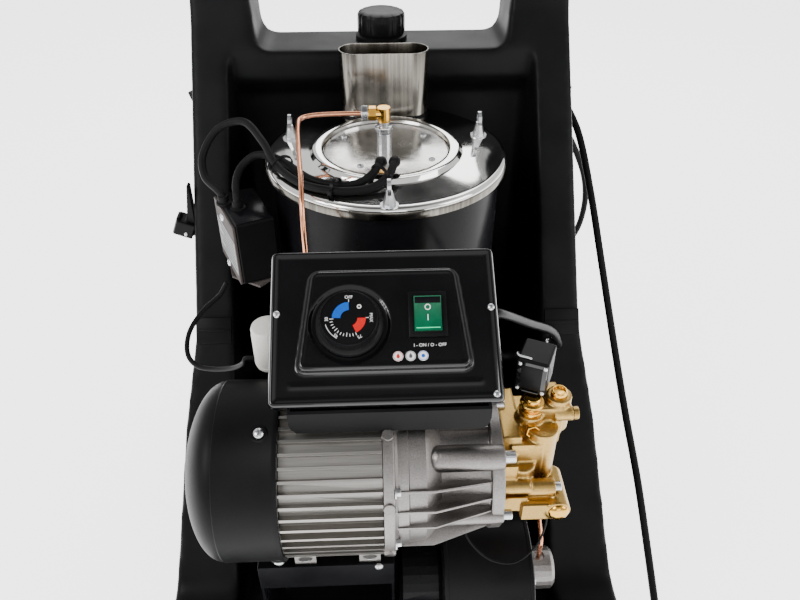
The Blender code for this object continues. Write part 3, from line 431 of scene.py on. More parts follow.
def make_studio():
    camera = bpy.data.cameras.new("camera")
    camera.sensor_width = 36.0
    camera.lens = 33.07
    eye = bpy.data.objects.new("camera", camera)
    eye.location = (-0.017, -0.69, 0.961)
    eye.rotation_euler = (math.radians(53.3), 0, math.radians(-2.4))
    bpy.context.scene.collection.objects.link(eye)
    bpy.context.scene.camera = eye
    world = bpy.data.worlds.new("studio")
    world.use_nodes = True
    tree = world.node_tree
    place, apart = shader_node(tree, "TexCoord"), shader_node(tree, "SeparateXYZ")
    ramp = shader_node(tree, "ValToRGB")
    set_ramp(ramp, (0.76, (1.0, 1.0, 1.0)), (0.965, (0.13, 0.13, 0.13)))
    tree.links.new(place.outputs["Generated"], apart.inputs[0])
    tree.links.new(apart.outputs["Z"], ramp.inputs["Fac"])
    tree.links.new(ramp.outputs["Color"], tree.nodes["Background"].inputs["Color"])
    tree.nodes["Background"].inputs["Strength"].default_value = 1.0
    bpy.context.scene.world = world
    pale = surface("pale_floor", (0.9, 0.9, 0.9), (0.93, 0.93, 0.93), 0.8, grain=30, bump=0.02)
    floor = slab(FLOOR_HALF, FLOOR_HALF, -0.02, -0.0005)
    floor = from_shape("floor", floor, lit(pale, (1.0, 1.0, 1.0), FLOOR_GLOW))
    aims = {"key": ((-1.5, -0.9, 1.9), 1.0, 30), "fill": ((1.7, -0.7, 1.3), 1.0, 14),
            "rear": ((0.3, 1.9, 1.9), 1.4, 24), "low": ((0.2, -2.2, 0.9), 0.9, 7)}
    for name, (where, size, power) in aims.items():
        lamp = bpy.data.lights.new(name, "AREA")
        lamp.size = size
        lamp.energy = power
        made = bpy.data.objects.new(name, lamp)
        made.location = where
        made.rotation_euler = (Vector((0, 0, 0.45)) - Vector(where)).to_track_quat("-Z", "Y").to_euler()
        bpy.context.scene.collection.objects.link(made)


# ------------------------------------------------------------------ mains cord
CORD_R = 0.005
GLAND_AT = Vector((0.2797, -0.26, 0.092))
COIL_AT = Vector((-0.15, 0.346, 0.507))
COIL_ENDS = (0.093, 0.0916)                 # radius where the cord joins and leaves the coil
COIL_TURNING = (0.0806, 0.05)               # radius of the outer and the inner turn
COIL_LAYERS = (0.3524, 0.3416)              # Y of the two flat layers

LOWER_ROUTE = mm((328, -260, 92), (348, -260, 92), (372, -262, 78), (392, -268, 48), (413, -279, 18),
                 (435, -296, 6), (452, -328, 5.5), (447, -366, 5.5), (414, -388, 5.5), (376, -376, 5.5),
                 (356, -338, 5.5), (349, -290, 6.5), (344, -245, 18), (340, -195, 48), (336, -130, 105),
                 (328, -60, 178), (318, 10, 245), (309, 80, 315), (299, 150, 392), (289, 215, 465),
                 (278, 275, 525), (264, 320, 554), (255, 362, 562), (259, 392, 542), (280, 402, 498),
                 (313, 403, 445), (337, 401, 390), (344, 400, 335), (333, 400, 280), (295, 400, 238),
                 (230, 400, 220), (150, 400, 235), (70, 395, 278), (0, 380, 335), (-33, 360, 395),
                 (-52.5, 348, 450), (-58.2, 346, 492))


def coil_turns():
    """The coil: it winds inward in one flat layer and outward in the next."""
    start = math.atan2(-0.015, 0.0918)
    sweep = math.pi + 6 * 2 * math.pi - start
    lead = math.pi / 2
    outer, inner = COIL_TURNING
    middle = sweep / 2
    count = 190
    points = []
    for k in range(1, count):
        wound = sweep * k / count
        if wound < lead:
            share = wound / lead
            radius = COIL_ENDS[0] + (outer - COIL_ENDS[0]) * share
            y = COIL_AT.y + (COIL_LAYERS[0] - COIL_AT.y) * share
        elif wound > sweep - lead:
            share = (sweep - wound) / lead
            radius = COIL_ENDS[1] + (outer - COIL_ENDS[1]) * share
            y = COIL_AT.y + (COIL_LAYERS[1] - COIL_AT.y) * share
        else:
            share = abs(wound - middle) / (middle - lead)
            radius = inner + (outer - inner) * share
            cross = min(1.0, max(0.0, (wound - middle) / 0.9 + 0.5))
            y = COIL_LAYERS[0] + (COIL_LAYERS[1] - COIL_LAYERS[0]) * cross
        angle = start + wound
        points.append(Vector((COIL_AT.x + radius * math.cos(angle), y, COIL_AT.z + radius * math.sin(angle))))
    return points


def make_cord():
    beside = COIL_AT.x - COIL_ENDS[1]
    upper = [(beside, 0.346, COIL_AT.z), (beside - 0.001, 0.349, COIL_AT.z - 0.024),
             (beside - 0.001, 0.358, COIL_AT.z - 0.054), (beside - 0.001, 0.358, COIL_AT.z - 0.076)]
    line = smooth_route(LOWER_ROUTE, 0.01) + coil_turns() + smooth_route(upper, 0.008)
    cord = wire("mains_cord", line, CORD_R, RUBBER)
    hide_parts("cord_lower", "cord_coil", "cord_upper")
    length = sum((b - a).length for a, b in zip(line, line[1:]))
    gland = mm((0, 48), (6.6, 48), (7.4, 47))
    for k in range(5):
        z = 0.044 - 0.0045 * k
        crest, dip = 0.0078 + 0.0005 * k, 0.007 + 0.0005 * k
        gland += [(crest, z), (dip, z - 0.0012), (dip, z - 0.0028)]
    gland += mm((10.5, 20.5), (14, 20), (14.5, 15), (14, 8), (17, 7), (17, 0), (0, 0))
    sleeve = from_shape("gland_sleeve", lathe(gland, 40), RUBBER, at=move(GLAND_AT) @ ALONG_X)
    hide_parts("cord_gland")
    top = Vector((beside - 0.001, 0.358, COIL_AT.z - 0.0763))
    body = mm((0, 0), (6.2, 0), (7, -2))
    for k in range(4):
        z = -0.004 - 0.0045 * k
        body += [(0.0078, z), (0.0068, z - 0.0012), (0.0068, z - 0.0028)]
    body += mm((9, -23.5), (14, -29), (18, -35), (19, -40), (19, -58), (18.2, -60), (0, -60))
    plug = from_shape("plug_body", lathe(body, 48), RUBBER, at=move(top))
    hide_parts("mains_plug")
    tuple(line[0])


# ------------------------------------------------------------------ chassis and running gear
def melt(made, voxel, rounds):
    """Join an object's shapes and round their edges with two modifiers."""
    mesher = made.modifiers.new("grid", "REMESH")
    mesher.mode, mesher.voxel_size, mesher.use_smooth_shade = "VOXEL", voxel, True
    rounder = made.modifiers.new("relax", "SMOOTH")
    rounder.factor, rounder.iterations = 0.5, rounds


def make_chassis():
    """Moulded shell: the CAD solid with its edges rounded all over."""
    melt(nodes["chassis"], 0.0045, 10)


# ------------------------------------------------------------------ control panel
PRINT = 0.0002                              # thickness of printed marks and of the dial's painted highlight
DIAL_FACE = 0.027                           # height of the knob's face above the panel's frame
TICK_HALF = 0.9                             # degrees to each side of a tick's middle


def step_up(value):
    """Smooth step from 0 to 1."""
    value = min(1.0, max(0.0, value))
    return value * value * (3 - 2 * value)


def console_inside(x, y):
    """Distance inside the console's outline, which narrows towards the top."""
    low, high = -0.046, 0.054
    share = (y - low) / (high - low)
    left = -0.0815 + 0.0125 * share
    right = 0.0795 - 0.0105 * share
    beside, above, corner = min(x - left, right - x), min(y - low, high - y), 0.01
    if beside < corner and above < corner:
        return corner - math.hypot(corner - beside, corner - above)
    return min(beside, above)


def panel_height(x, y):
    edge = min(x + PANEL_W / 2, PANEL_W / 2 - x, y + PANEL_L / 2, PANEL_L / 2 - y)
    height = 0.0042 * step_up(edge / 0.0022)
    bead = (edge - 0.0035) / 0.0026
    height += 0.002 * math.exp(-bead * bead)
    inside = console_inside(x, y)
    height += 0.0066 * step_up(inside / 0.0042)
    lip = (inside - 0.0052) / 0.0013
    height += 0.0007 * math.exp(-lip * lip)
    round_knob = math.hypot(x - KNOB[0], y - KNOB[1])
    if inside > 0.004:
        height -= 0.0016 * step_up((0.0375 - round_knob) / 0.003)
    rib = (y + 0.056) / 0.002
    height += 0.0008 * math.exp(-rib * rib) * step_up((0.088 - abs(x)) / 0.004)
    return height


def make_panel():
    across, up = 126, 90
    shape = bmesh.new()
    grid = []
    for j in range(up + 1):
        row = []
        for i in range(across + 1):
            x = PANEL_W * (i / across - 0.5)
            y = PANEL_L * (j / up - 0.5)
            cx, cy, corner = PANEL_W / 2 - 0.006, PANEL_L / 2 - 0.006, 0.006
            height = panel_height(x, y)
            if abs(x) > cx and abs(y) > cy:
                away = math.hypot(abs(x) - cx, abs(y) - cy)
                reach = max(abs(x) - cx, abs(y) - cy)
                x = math.copysign(cx + (abs(x) - cx) * reach / away, x)
                y = math.copysign(cy + (abs(y) - cy) * reach / away, y)
            row.append(shape.verts.new((x, y, height)))
        grid.append(row)
    for j in range(up):
        for i in range(across):
            shape.faces.new((grid[j][i], grid[j][i + 1], grid[j + 1][i + 1], grid[j + 1][i]))
    walls = bmesh.ops.extrude_face_region(shape, geom=list(shape.faces))
    low = [v for v in walls["geom"] if isinstance(v, bmesh.types.BMVert)]
    for corner in low:
        corner.co.z = max(0.0001, corner.co.z - 0.002) if corner.co.z > 0.003 else 0.0
    made = from_shape("panel_moulding", shape, GLOSS, at=PANEL, sharp=60)
    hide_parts("control_panel")
    for number, (x, y) in enumerate(((-0.0985, 0.012), (0.0985, 0.014), (0.0975, -0.068))):
        where = PANEL @ Vector((x, y, panel_height(x, y)))
        domed_screw("panel_screw_%d" % number, where, PANEL.to_3x3() @ UP, 0.0036, 0.4 + number)


def arc_plate(inner, outer, start, end, low=0.0, high=PRINT, steps=20):
    """Part of a flat ring between two angles, in degrees clockwise from the top."""
    angles = [math.radians(90 - (start + (end - start) * k / steps)) for k in range(steps + 1)]
    far = [(outer * math.cos(a), outer * math.sin(a)) for a in angles]
    near = [(inner * math.cos(a), inner * math.sin(a)) for a in reversed(angles)]
    return prism(far + near, low, high)


def printed(name, words, size, at, look, body):
    """Flat printed characters."""
    curve = bpy.data.curves.new(name, "FONT")
    curve.body = words
    curve.size = size
    curve.align_x = "CENTER"
    curve.align_y = "CENTER"
    curve.extrude = 0.00006
    drawn = bpy.data.objects.new(name, curve)
    bpy.context.scene.collection.objects.link(drawn)
    bpy.context.view_layer.update()
    mesh = bpy.data.meshes.new_from_object(drawn.evaluated_get(bpy.context.evaluated_depsgraph_get()))
    bpy.data.objects.remove(drawn, do_unlink=True)
    mesh.transform(at)
    return piece(name, mesh, look, body)


def ripple(shape, chosen, depth):
    """Push the chosen corners of a shape turned about Z out by a depth that depends on their angle."""
    for corner in shape.verts:
        radius = math.hypot(corner.co.x, corner.co.y)
        if chosen(radius, corner.co.z):
            grow = 1 + depth(math.atan2(corner.co.y, corner.co.x)) / radius
            corner.co.x *= grow
            corner.co.y *= grow


def make_knob():
    body = "temperature_knob"
    centre = PANEL @ move((*KNOB, 0))
    skirt = mm((0, 27), (24.6, 27), (25, 28), (25.6, 27.6), (26.2, 25), (26.8, 17), (29.8, 15.2),
               (30.8, 13.5), (31, 11.3), (0, 11.3))
    shape = lathe(skirt, 120)
    ripple(shape, lambda radius, z: 0.0255 < radius < 0.027, lambda angle: 0.00025 * math.cos(40 * angle))
    made = from_shape("knob_grip", shape, SATIN, body, at=centre)
    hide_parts("thermostat_knob")
    face = centre @ move((0, 0, DIAL_FACE))
    from_shape("dial_cold", arc_plate(0.0075, 0.015, -88, 0), BLUE, body, at=face)
    from_shape("dial_hot", arc_plate(0.0075, 0.015, 90, 155), RED, body, at=face)
    # Painted highlight: a thin white arc near the dial's lower-left rim stands in for a glint of light there.
    from_shape("dial_painted_highlight", arc_plate(0.021, 0.0215, -150, -105), WHITE, body, at=face)
    first_tick, tick_step, ticks = 92, 121 / 12, 12
    marks = [("dial_tick_%d" % k, 0.0146 if k % 4 else 0.0136, 0.0172, -first_tick - k * tick_step)
             for k in range(ticks)]
    marks += [("dial_tick_off", 0.015, 0.0176, 0), ("dial_tick_max", 0.015, 0.0176, 90)]
    for name, inner, outer, degrees in marks:
        tick = arc_plate(inner, outer, degrees - TICK_HALF, degrees + TICK_HALF, steps=2)
        from_shape(name, tick, WHITE, body, at=face)
    for words, degrees in (("OFF", 0), ("MAX", 90), ("75", 152), ("45", 216), ("30", 268)):
        at = face @ turned(-degrees, "Z") @ move((0, 0.0196, PRINT / 2))
        printed("dial_" + words.lower(), words, 0.004, at, WHITE, body)
    from_shape("dial_mark", arc_plate(0.0011, 0.002, 0, 359.5), WHITE, body,
               at=face @ move((0.0092, 0.0106, 0)))


def make_switch():
    at = PANEL @ move((*SWITCH, CONSOLE_FACE))
    bezel = slab(0.0175, 0.0215, 0.0002, 0.0036)
    made = from_shape("switch_bezel", bezel, SATIN, bevel=0.0009)
    cut_away(made, slab(0.0131, 0.0172, -0.01, 0.02))
    made.data.transform(at)
    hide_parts("switch_frame")
    lean = at @ move((0, 0, 0.001)) @ turned(7, "X")
    shape = slab(0.0124, 0.016, -0.002, 0.0056)
    bmesh.ops.subdivide_edges(shape, edges=list(shape.edges), cuts=10, use_grid_fill=True)
    for corner in shape.verts:
        if corner.co.z > 0.005:
            dip = 1 - (corner.co.y / 0.016) ** 2
            corner.co.z -= 0.0016 * max(0.0, dip)
    made = from_shape("rocker_lens", shape, GREEN, "rocker_switch", at=lean)
    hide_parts("rocker")
    drop = mm((0, 3), (1.2, 0.8), (1.5, -0.6), (1, -1.7), (0, -2.1), (-1, -1.7), (-1.5, -0.6),
              (-1.2, 0.8))
    disc = mm((0, 0.2), (4.4, 0.2), (4.6, 0), (0, 0))
    for number, (x, look, mark) in enumerate(((0.011, RED, drop), (0.0222, GREY, drop),
                                              (0.0334, BLUE, ngon(0.0018, 6)))):
        spot = PANEL @ move((x, -0.0325, CONSOLE_FACE))
        from_shape("symbol_disc_%d" % number, lathe(disc, 40), WHITE, at=spot)
        ring = arc_plate(0.0038, 0.0042, 0, 359.5, PRINT, 1.5 * PRINT, 40)
        from_shape("symbol_ring_%d" % number, ring, look, at=spot)
        from_shape("symbol_mark_%d" % number, prism(mark, PRINT, 1.5 * PRINT), look, at=spot)
    caption = PANEL @ move((0.04, -0.0228, CONSOLE_FACE + PRINT / 2))
    printed("switch_words", "I - ON / O - OFF", 0.0042, caption, WHITE, MACHINE)
    for name, shape, look, where, bevel in (
            ("glow", block((-0.0108, -0.014, 0), (0.0108, -0.0128, 0.0003)), GLOW, (0, 0, 0.0049), 0.0001),
            ("shade", block((-0.0116, 0.0094, 0), (0.0116, 0.0152, 0.0003)), ENAMEL, (0, 0, 0.0052), 0.0001),
            ("off", arc_plate(0.002, 0.0028, 0, 359.5), WHITE, (0, 0.0058, 0.0044), 0),
            ("on", slab(0.0004, 0.0028, 0, PRINT), WHITE, (0, -0.0036, 0.0043), 0.00008)):
        from_shape("rocker_" + name, shape, look, "rocker_switch", at=lean @ move(where), bevel=bevel)


# ------------------------------------------------------------------ motor and pump
def make_motor():
    crease, depth, skirt, wall = -0.166, 0.0375, 0.0872, 0.0022
    turn = [math.radians(3.4 * k) for k in range(25)] + [math.acos(0.01 / skirt)]
    cowl = mm((88, -108.3), (88.4, -110), (88.4, -113), (88, -114.2))
    cowl += [(0.088, crease + 0.0008), (0.0876, crease)]
    for inset, angles in ((0, turn), (wall, reversed(turn[:-1]))):
        cowl += [((skirt - inset) * math.cos(a), crease - (depth - inset) * math.sin(a)) for a in angles]
    cowl.append((skirt - wall, -0.1083))
    made = from_shape("cowl_shell", lathe(cowl, 120, True), MOULDED, at=SHAFT_AXIS, sharp=22)
    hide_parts("fan_cowl")
    for ring, reach in enumerate((0.017, 0.027, 0.037)):
        count = 8 + 6 * ring
        rise = math.sqrt(1 - (reach / skirt) ** 2)
        for k in range(count):
            angle = 2 * math.pi * k / count
            y, z = reach * math.cos(angle), reach * math.sin(angle)
            where = Vector((crease - depth * rise + 0.0004, SHAFT.y + y, SHAFT.z + z))
            bend = Vector((-rise / depth, y / skirt ** 2, z / skirt ** 2))
            hollow = lathe(mm((0, 0.2), (2.4, 0.2), (3.1, 1), (3.5, 0.8), (3.5, -0.4), (0, -0.4)), 16)
            from_shape("cowl_vent_%d_%d" % (ring, k), hollow, ENAMEL, at=facing(where, bend))
    for number, (degrees, spot) in enumerate(((69, -0.124), (-40, -0.116), (-110, -0.12), (160, -0.12))):
        angle = math.radians(degrees)
        normal = Vector((0, -math.cos(angle), math.sin(angle)))
        pad = SHAFT + Vector((spot, 0, 0)) + normal * 0.0874
        from_shape("cowl_pad_%d" % number, lathe(mm((0, 2), (7, 2), (8.6, 0), (0, 0)), 32),
                   MOULDED, at=facing(pad, normal))
        domed_screw("cowl_screw_%d" % number, pad + normal * 0.002, normal, 0.0052, 0.5 * number)
    soften("motor_body", 0.0005, 2)
    for number, x in enumerate((-0.095, -0.029)):
        for row, y in enumerate((-0.236, -0.166)):
            hex_bolt("foot_bolt_%d_%d" % (number, row), (x, y, 0.299), UP, 0.01, 0.0065)
    domed_screw("lip_screw", (-0.02, -0.2452, 0.286), FRONT, 0.0045, 0.4)


def spoke_at(x, radius, degrees):
    """A point about the motor shaft: 0 degrees faces the front, 90 points up."""
    angle = math.radians(degrees)
    return SHAFT + Vector((x, -radius * math.cos(angle), radius * math.sin(angle)))


def make_crankcase():
    case = mm((17.3, 12), (43, 12), (43, 98.5), (63.2, 98.5), (64.2, 97.5), (64.2, 88), (63.2, 86.8),
              (58, 86), (57.2, 84), (57.2, 48), (59, 40), (71.5, 29), (74.2, 25.5), (75.2, 10),
              (76.8, 9), (77.5, -0.5), (80, -3), (85.2, -3.8), (86.2, -4.8), (86.2, -13.8),
              (17.3, -13.8))
    made = from_shape("case_body", lathe(case, 120, True), CAST, at=SHAFT_AXIS, sharp=28)
    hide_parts("crankcase")
    for number, degrees in enumerate((52, -8, -68, 112, 172, 232)):
        radius = 0.0125 if number == 0 else 0.0082
        boss = [(0, 0.0986), (radius - 0.0016, 0.0986), (radius - 0.0006, 0.0978), (radius, 0.09),
                (radius, 0.036), (radius - 0.001, 0.033), (radius - 0.004, 0.03), (0, 0.029)]
        where = spoke_at(0, 0.06, degrees)
        from_shape("case_boss_%d" % number, lathe(boss, 48), CAST, at=move(where) @ ALONG_X)
        if number:
            socket_bolt("case_bolt_%d" % number, where + Vector((0.0984, 0, 0)), RIGHT, 0.005, 0.0085)
    for number, degrees in enumerate((30, 15, 1, -30, -52, 80, 96)):
        normal = (spoke_at(0, 1, degrees) - SHAFT).normalized()
        turn = Matrix((RIGHT, RIGHT.cross(normal), normal)).transposed().to_4x4()
        outline = mm((-3, 70), (30, 56), (87, 56), (87, 62.2), (35, 78.5), (33, 79), (-3, 79))
        rib = placed(prism(outline, -0.0013, 0.0013), ON_EDGE)
        from_shape("case_rib_%d" % number, rib, CAST, at=move(SHAFT) @ turn, bevel=0.0006)
    for number, degrees in enumerate((66, 22, -22, 118)):
        where = spoke_at(-0.009, 0.0845, degrees)
        normal = (where - SHAFT - Vector((-0.009, 0, 0))).normalized()
        lug = lathe(mm((0, 4), (5, 4), (5.6, 3), (6, -4), (0, -4)), 28)
        from_shape("flange_lug_%d" % number, lug, CAST, at=facing(where, normal))
        hex_bolt("flange_bolt_%d" % number, spoke_at(-0.0038, 0.0815, degrees + 9), RIGHT, 0.0066, 0.0055)
    soften("pump_bolt", 0.0006)


def bar(start, end, radius, sides=32):
    """A cylinder between two points."""
    start, end = Vector(start), Vector(end)
    shape = lathe([(0, (end - start).length), (radius, (end - start).length), (radius, 0), (0, 0)], sides)
    return placed(shape, facing(start, end - start))


def fuse(name, shapes, voxel, rounds, look, body=MACHINE):
    """Several shapes cast as one body with soft joints."""
    whole = bpy.data.meshes.new(name)
    every = bmesh.new()
    for shape in shapes:
        bmesh.ops.recalc_face_normals(shape, faces=shape.faces)
        shape.to_mesh(whole)
        shape.free()
        every.from_mesh(whole)
    every.to_mesh(whole)
    every.free()
    made = piece(name, whole, look, body, 60)
    melt(made, voxel, rounds)
    bpy.context.view_layer.update()
    made.data = bpy.data.meshes.new_from_object(made.evaluated_get(bpy.context.evaluated_depsgraph_get()))
    made.modifiers.clear()
    return made


def make_pump_head():
    shapes = [block((0.0994, -0.238, 0.347), (0.113, -0.152, 0.426)),
              block((0.0994, -0.22, 0.347), (0.118, -0.152, 0.446)),
              block((0.108, -0.224, 0.356), (0.138, -0.156, 0.438)),
              bar((0.139, -0.208, 0.352), (0.139, -0.208, 0.448), 0.015),
              bar((0.12, -0.224, 0.356), (0.12, -0.224, 0.416), 0.012),
              bar((0.129, -0.195, 0.43), (0.129, -0.195, 0.456), 0.0135),
              block((0.13, -0.202, 0.418), (0.159, -0.164, 0.464)),
              bar((0.156, -0.188, 0.43), (0.156, -0.188, 0.47), 0.0125),
              bar((0.15, -0.199, 0.455), (0.169, -0.199, 0.455), 0.007),
              bar((0.0994, -0.24, 0.4), (0.126, -0.24, 0.4), 0.007),
              bar((0.124, -0.238, 0.396), (0.15, -0.238, 0.396), 0.0085),
              block((0.118, -0.252, 0.364), (0.158, -0.206, 0.386)),
              bar((0.153, -0.206, 0.378), (0.153, -0.254, 0.378), 0.0118),
              block((0.0994, -0.246, 0.37), (0.124, -0.21, 0.39))]
    made = fuse("head_casting", shapes, 0.0012, 5, BRASS)
    cut_away(made, bar((0.09, -0.2359, 0.4383), (0.13, -0.2359, 0.4383), 0.013))
    made.data.shade_smooth()
    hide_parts("pump_head")
    hollow = mm((0, 3), (4.2, 3), (4.6, 5.8), (5.8, 6), (6.4, 5), (6.8, 0), (0, 0))
    for name, where, normal, grow in (("top", (0.156, -0.188, 0.4695), UP, 1.2),
                                      ("valve", (0.129, -0.2085, 0.444), (0, -1, 0.25), 1.15)):
        shape = lathe([(r * grow, z) for r, z in hollow], 6 if name == "valve" else 40)
        from_shape("plug_" + name, shape, GOLD, at=facing(where, normal, 0.3), bevel=0.0004)
    dome = mm((0, 5.6), (4, 5.3), (7.6, 4.2), (9.6, 2.2), (10, 0), (0, -0.4))
    from_shape("plug_low", lathe(dome, 48), GOLD, at=facing((0.153, -0.2532, 0.378), FRONT))
    stem = mm((0, 20), (7.4, 20), (8.4, 19), (8.4, 15), (11.2, 14), (11.8, 12.5), (11.2, 11), (9.2, 10),
              (9.2, 7), (11.6, 6), (12, 4), (11.2, 0), (0, 0))
    from_shape("valve_body", lathe(stem, 48), GOLD, at=move((0.129, -0.195, 0.4548)))
    nub = mm((0, 5), (5.8, 5), (6.4, 4.2), (6.4, 0), (0, 0))
    from_shape("outlet_tip", lathe(nub, 40), BRASS, at=facing((0.1688, -0.199, 0.455), RIGHT))
    socket_bolt("head_bolt", (0.149, -0.238, 0.396), RIGHT, 0.0048, 0.0075)
    for number, (y, z) in enumerate(((-0.166, 0.43), (-0.166, 0.362), (-0.225, 0.358))):
        socket_bolt("head_cap_bolt_%d" % number, (0.1375, y, z), RIGHT, 0.0062, 0.006)
    soften("pressure_switch", 0.0016)
    turn = move((0.133, -0.175, 0.4945)) @ turned(-24, "Z")
    for name, low, high, look, bevel in (
            ("cover", (-0.0142, -0.0186, -0.018), (0.0142, -0.0165, 0.018), GLOSS, 0.0012),
            ("face", (-0.01, -0.0192, -0.0125), (0.01, -0.0184, 0.014), SATIN, 0.0006),
            ("foot", (-0.0075, -0.02, -0.0178), (0.0085, -0.0182, -0.0152), GLOSS, 0.0008)):
        from_shape("switch_" + name, block(low, high), look, at=turn, bevel=bevel)
    for number, (x, z) in enumerate(((-0.0118, 0.015), (0.0118, 0.015), (-0.0118, -0.015), (0.0118, -0.015))):
        domed_screw("cover_screw_%d" % number, turn @ Vector((x, -0.0186, z)), turn.to_3x3() @ FRONT,
                    0.0022, 0.4)
    clip = mm((-16, -4, 15), (-16.8, -10, 20), (-15, -14, 20.8), (-8, -14, 20.4), (-2, -14, 20))
    wire("switch_clip", smooth_route([turn @ Vector(p) for p in clip], 0.001), 0.0009, ZINC)
    sense = mm((63, -237, 350), (70, -250, 332), (90, -262, 317), (115, -264, 313), (136, -256, 326),
               (145, -248, 348), (145, -245, 366))
    wire("sensor_lead", smooth_route(sense, 0.003), 0.001, RUBBER)


# ------------------------------------------------------------------ boiler
def oval(half_width, half_depth, steps=28):
    """Outline with straight sides and round ends."""
    reach = half_width - half_depth
    points = []
    for side, start in ((1, -math.pi / 2), (-1, math.pi / 2)):
        for k in range(steps + 1):
            angle = start + math.pi * k / steps
            points.append((side * reach + half_depth * math.cos(angle), half_depth * math.sin(angle)))
    return points


def make_boiler():
    at = move(BOILER)
    lid = mm((75, 590.5), (76.5, 591.2), (85, 591.2), (86.8, 590.5), (88.2, 587.5), (89.5, 585.7),
             (92, 585.2), (134, 585), (137.5, 584.6), (139.8, 583.4), (141, 581.2), (141.2, 571.2),
             (140.6, 570), (139.6, 570), (139, 581.5), (136, 583), (75, 583))
    made = from_shape("lid_shell", lathe(list(reversed(lid)), 144, True), POLISHED, at=at, sharp=25)
    cut_away(made, placed(prism(oval(0.052, 0.018), 0.55, 0.6), FLUE))
    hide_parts("boiler_lid")
    disc = mm((0, 586.6), (70, 586.6), (73, 586), (74.5, 584.8), (74.5, 583.2), (0, 583.2))
    made = from_shape("head_plate", lathe(disc, 128), MOTTLED, at=at, sharp=25)
    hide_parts("burner_head_plate")
    for number, (x, y) in enumerate(((-0.05, 0.146), (0.046, 0.146), (-0.03, 0.066), (0.052, 0.08))):
        domed_screw("plate_screw_%d" % number, (x, y, 0.5866), UP, 0.004, number)
    band = mm((141.3, 580), (141.7, 579.4), (141.7, 571.2), (141.1, 570.4), (140.5, 570.4), (140.5, 580))
    from_shape("lid_band", lathe(band, 144, True), BRUSHED, at=at)
    height, low = 0.667, 0.5853
    shell, loops = bmesh.new(), []
    for inset, z in ((0, low), (0, height - 0.001), (0.0003, height), (0.0011, height),
                     (0.0014, height - 0.001), (0.0014, low)):
        outline = oval(0.056 - inset, 0.022 - inset)
        loops.append([shell.verts.new(FLUE @ Vector((x, y, z))) for x, y in outline])
    loops.append(loops[0])
    for upper, lower in zip(loops, loops[1:]):
        count = len(upper)
        for k in range(count):
            shell.faces.new((upper[k], upper[(k + 1) % count], lower[(k + 1) % count], lower[k]))
    bmesh.ops.remove_doubles(shell, verts=shell.verts, dist=1e-6)
    made = from_shape("flue_shell", shell, BRUSHED)
    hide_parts("chimney")
    foot = placed(prism(oval(0.0578, 0.0238), 0.5851, 0.5868), FLUE)
    foot = from_shape("flue_foot", foot, ENAMEL, bevel=0.0005)
    cut_away(foot, placed(prism(oval(0.0561, 0.0221), 0.57, 0.6), FLUE))
    jacket = mm((133.8, 581.5), (134, 580), (134, 132), (133, 130), (132.2, 130), (132.2, 581.5))
    made = from_shape("jacket_shell", lathe(jacket, 128, True), ENAMEL, at=at)
    cut_away(made, block((0.059, -0.06, 0.169), (0.101, 0.1, 0.211)))
    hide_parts("boiler_jacket")
    for name in ("lid_nut_front", "lid_nut_left", "lid_nut_right", "boiler_base"):
        soften(name, 0.0009)
    for name, (x, y) in {"left": (-0.114, 0.148), "right": (0.114, 0.148), "front": (0.0, -0.022)}.items():
        washer = mm((0, 1.2), (9.8, 1.2), (10, 0), (0, 0))
        from_shape("nut_washer_" + name, lathe(washer, 40), ZINC, at=move((x, y, 0.585)))


# ------------------------------------------------------------------ burner and ignition
FRONT_LEAD = mm((8, 56, 596), (8, 40, 604), (1, 20, 599), (-12, 8, 593), (-32, 2, 590.3),
                (-60, 3, 590.3), (-93, 20, 590.3), (-122, 56, 594), (-140, 88, 609), (-164, 118, 620),
                (-195, 121, 610), (-213, 104, 586), (-210, 84, 568), (-195, 68, 560), (-188, 62, 553),
                (-188, 62, 545.3))
REAR_LEAD = mm((-6, 56, 596), (-8, 42, 603), (-16, 25, 598.5), (-30, 16, 592.5), (-52, 14, 590.3),
               (-84, 30, 590.3), (-113, 68, 590.5), (-133, 86, 591.5), (-152, 93, 589), (-167, 85, 579),
               (-172, 68, 569), (-170, 49, 560), (-170, 49, 545.3))
FUEL_PIPE = mm((-20.3, 112, 630), (-45, 112, 630), (-80, 112, 629), (-96.5, 105, 628),
               (-98.5, 85, 626.5), (-95, 40, 621), (-90, -10, 612), (-88, -40, 596), (-87, -56, 560),
               (-85, -63, 500), (-80, -68, 420), (-60, -70, 350), (0, -74, 315), (80, -80, 295),
               (140, -92, 280), (162, -120, 268), (165, -155, 258), (165, -186, 242), (165, -190, 225),
               (165, -190, 211.8))
SUPPLY_LEAD = mm((-190.5, 20, 462.5), (-200, 12, 450), (-218, -4, 440), (-230, -30, 430),
                 (-229, -55, 420), (-216, -72, 416), (-194, -85, 422), (-170, -102, 438),
                 (-154, -118, 458), (-150, -122, 468), (-140.7, -122, 468))


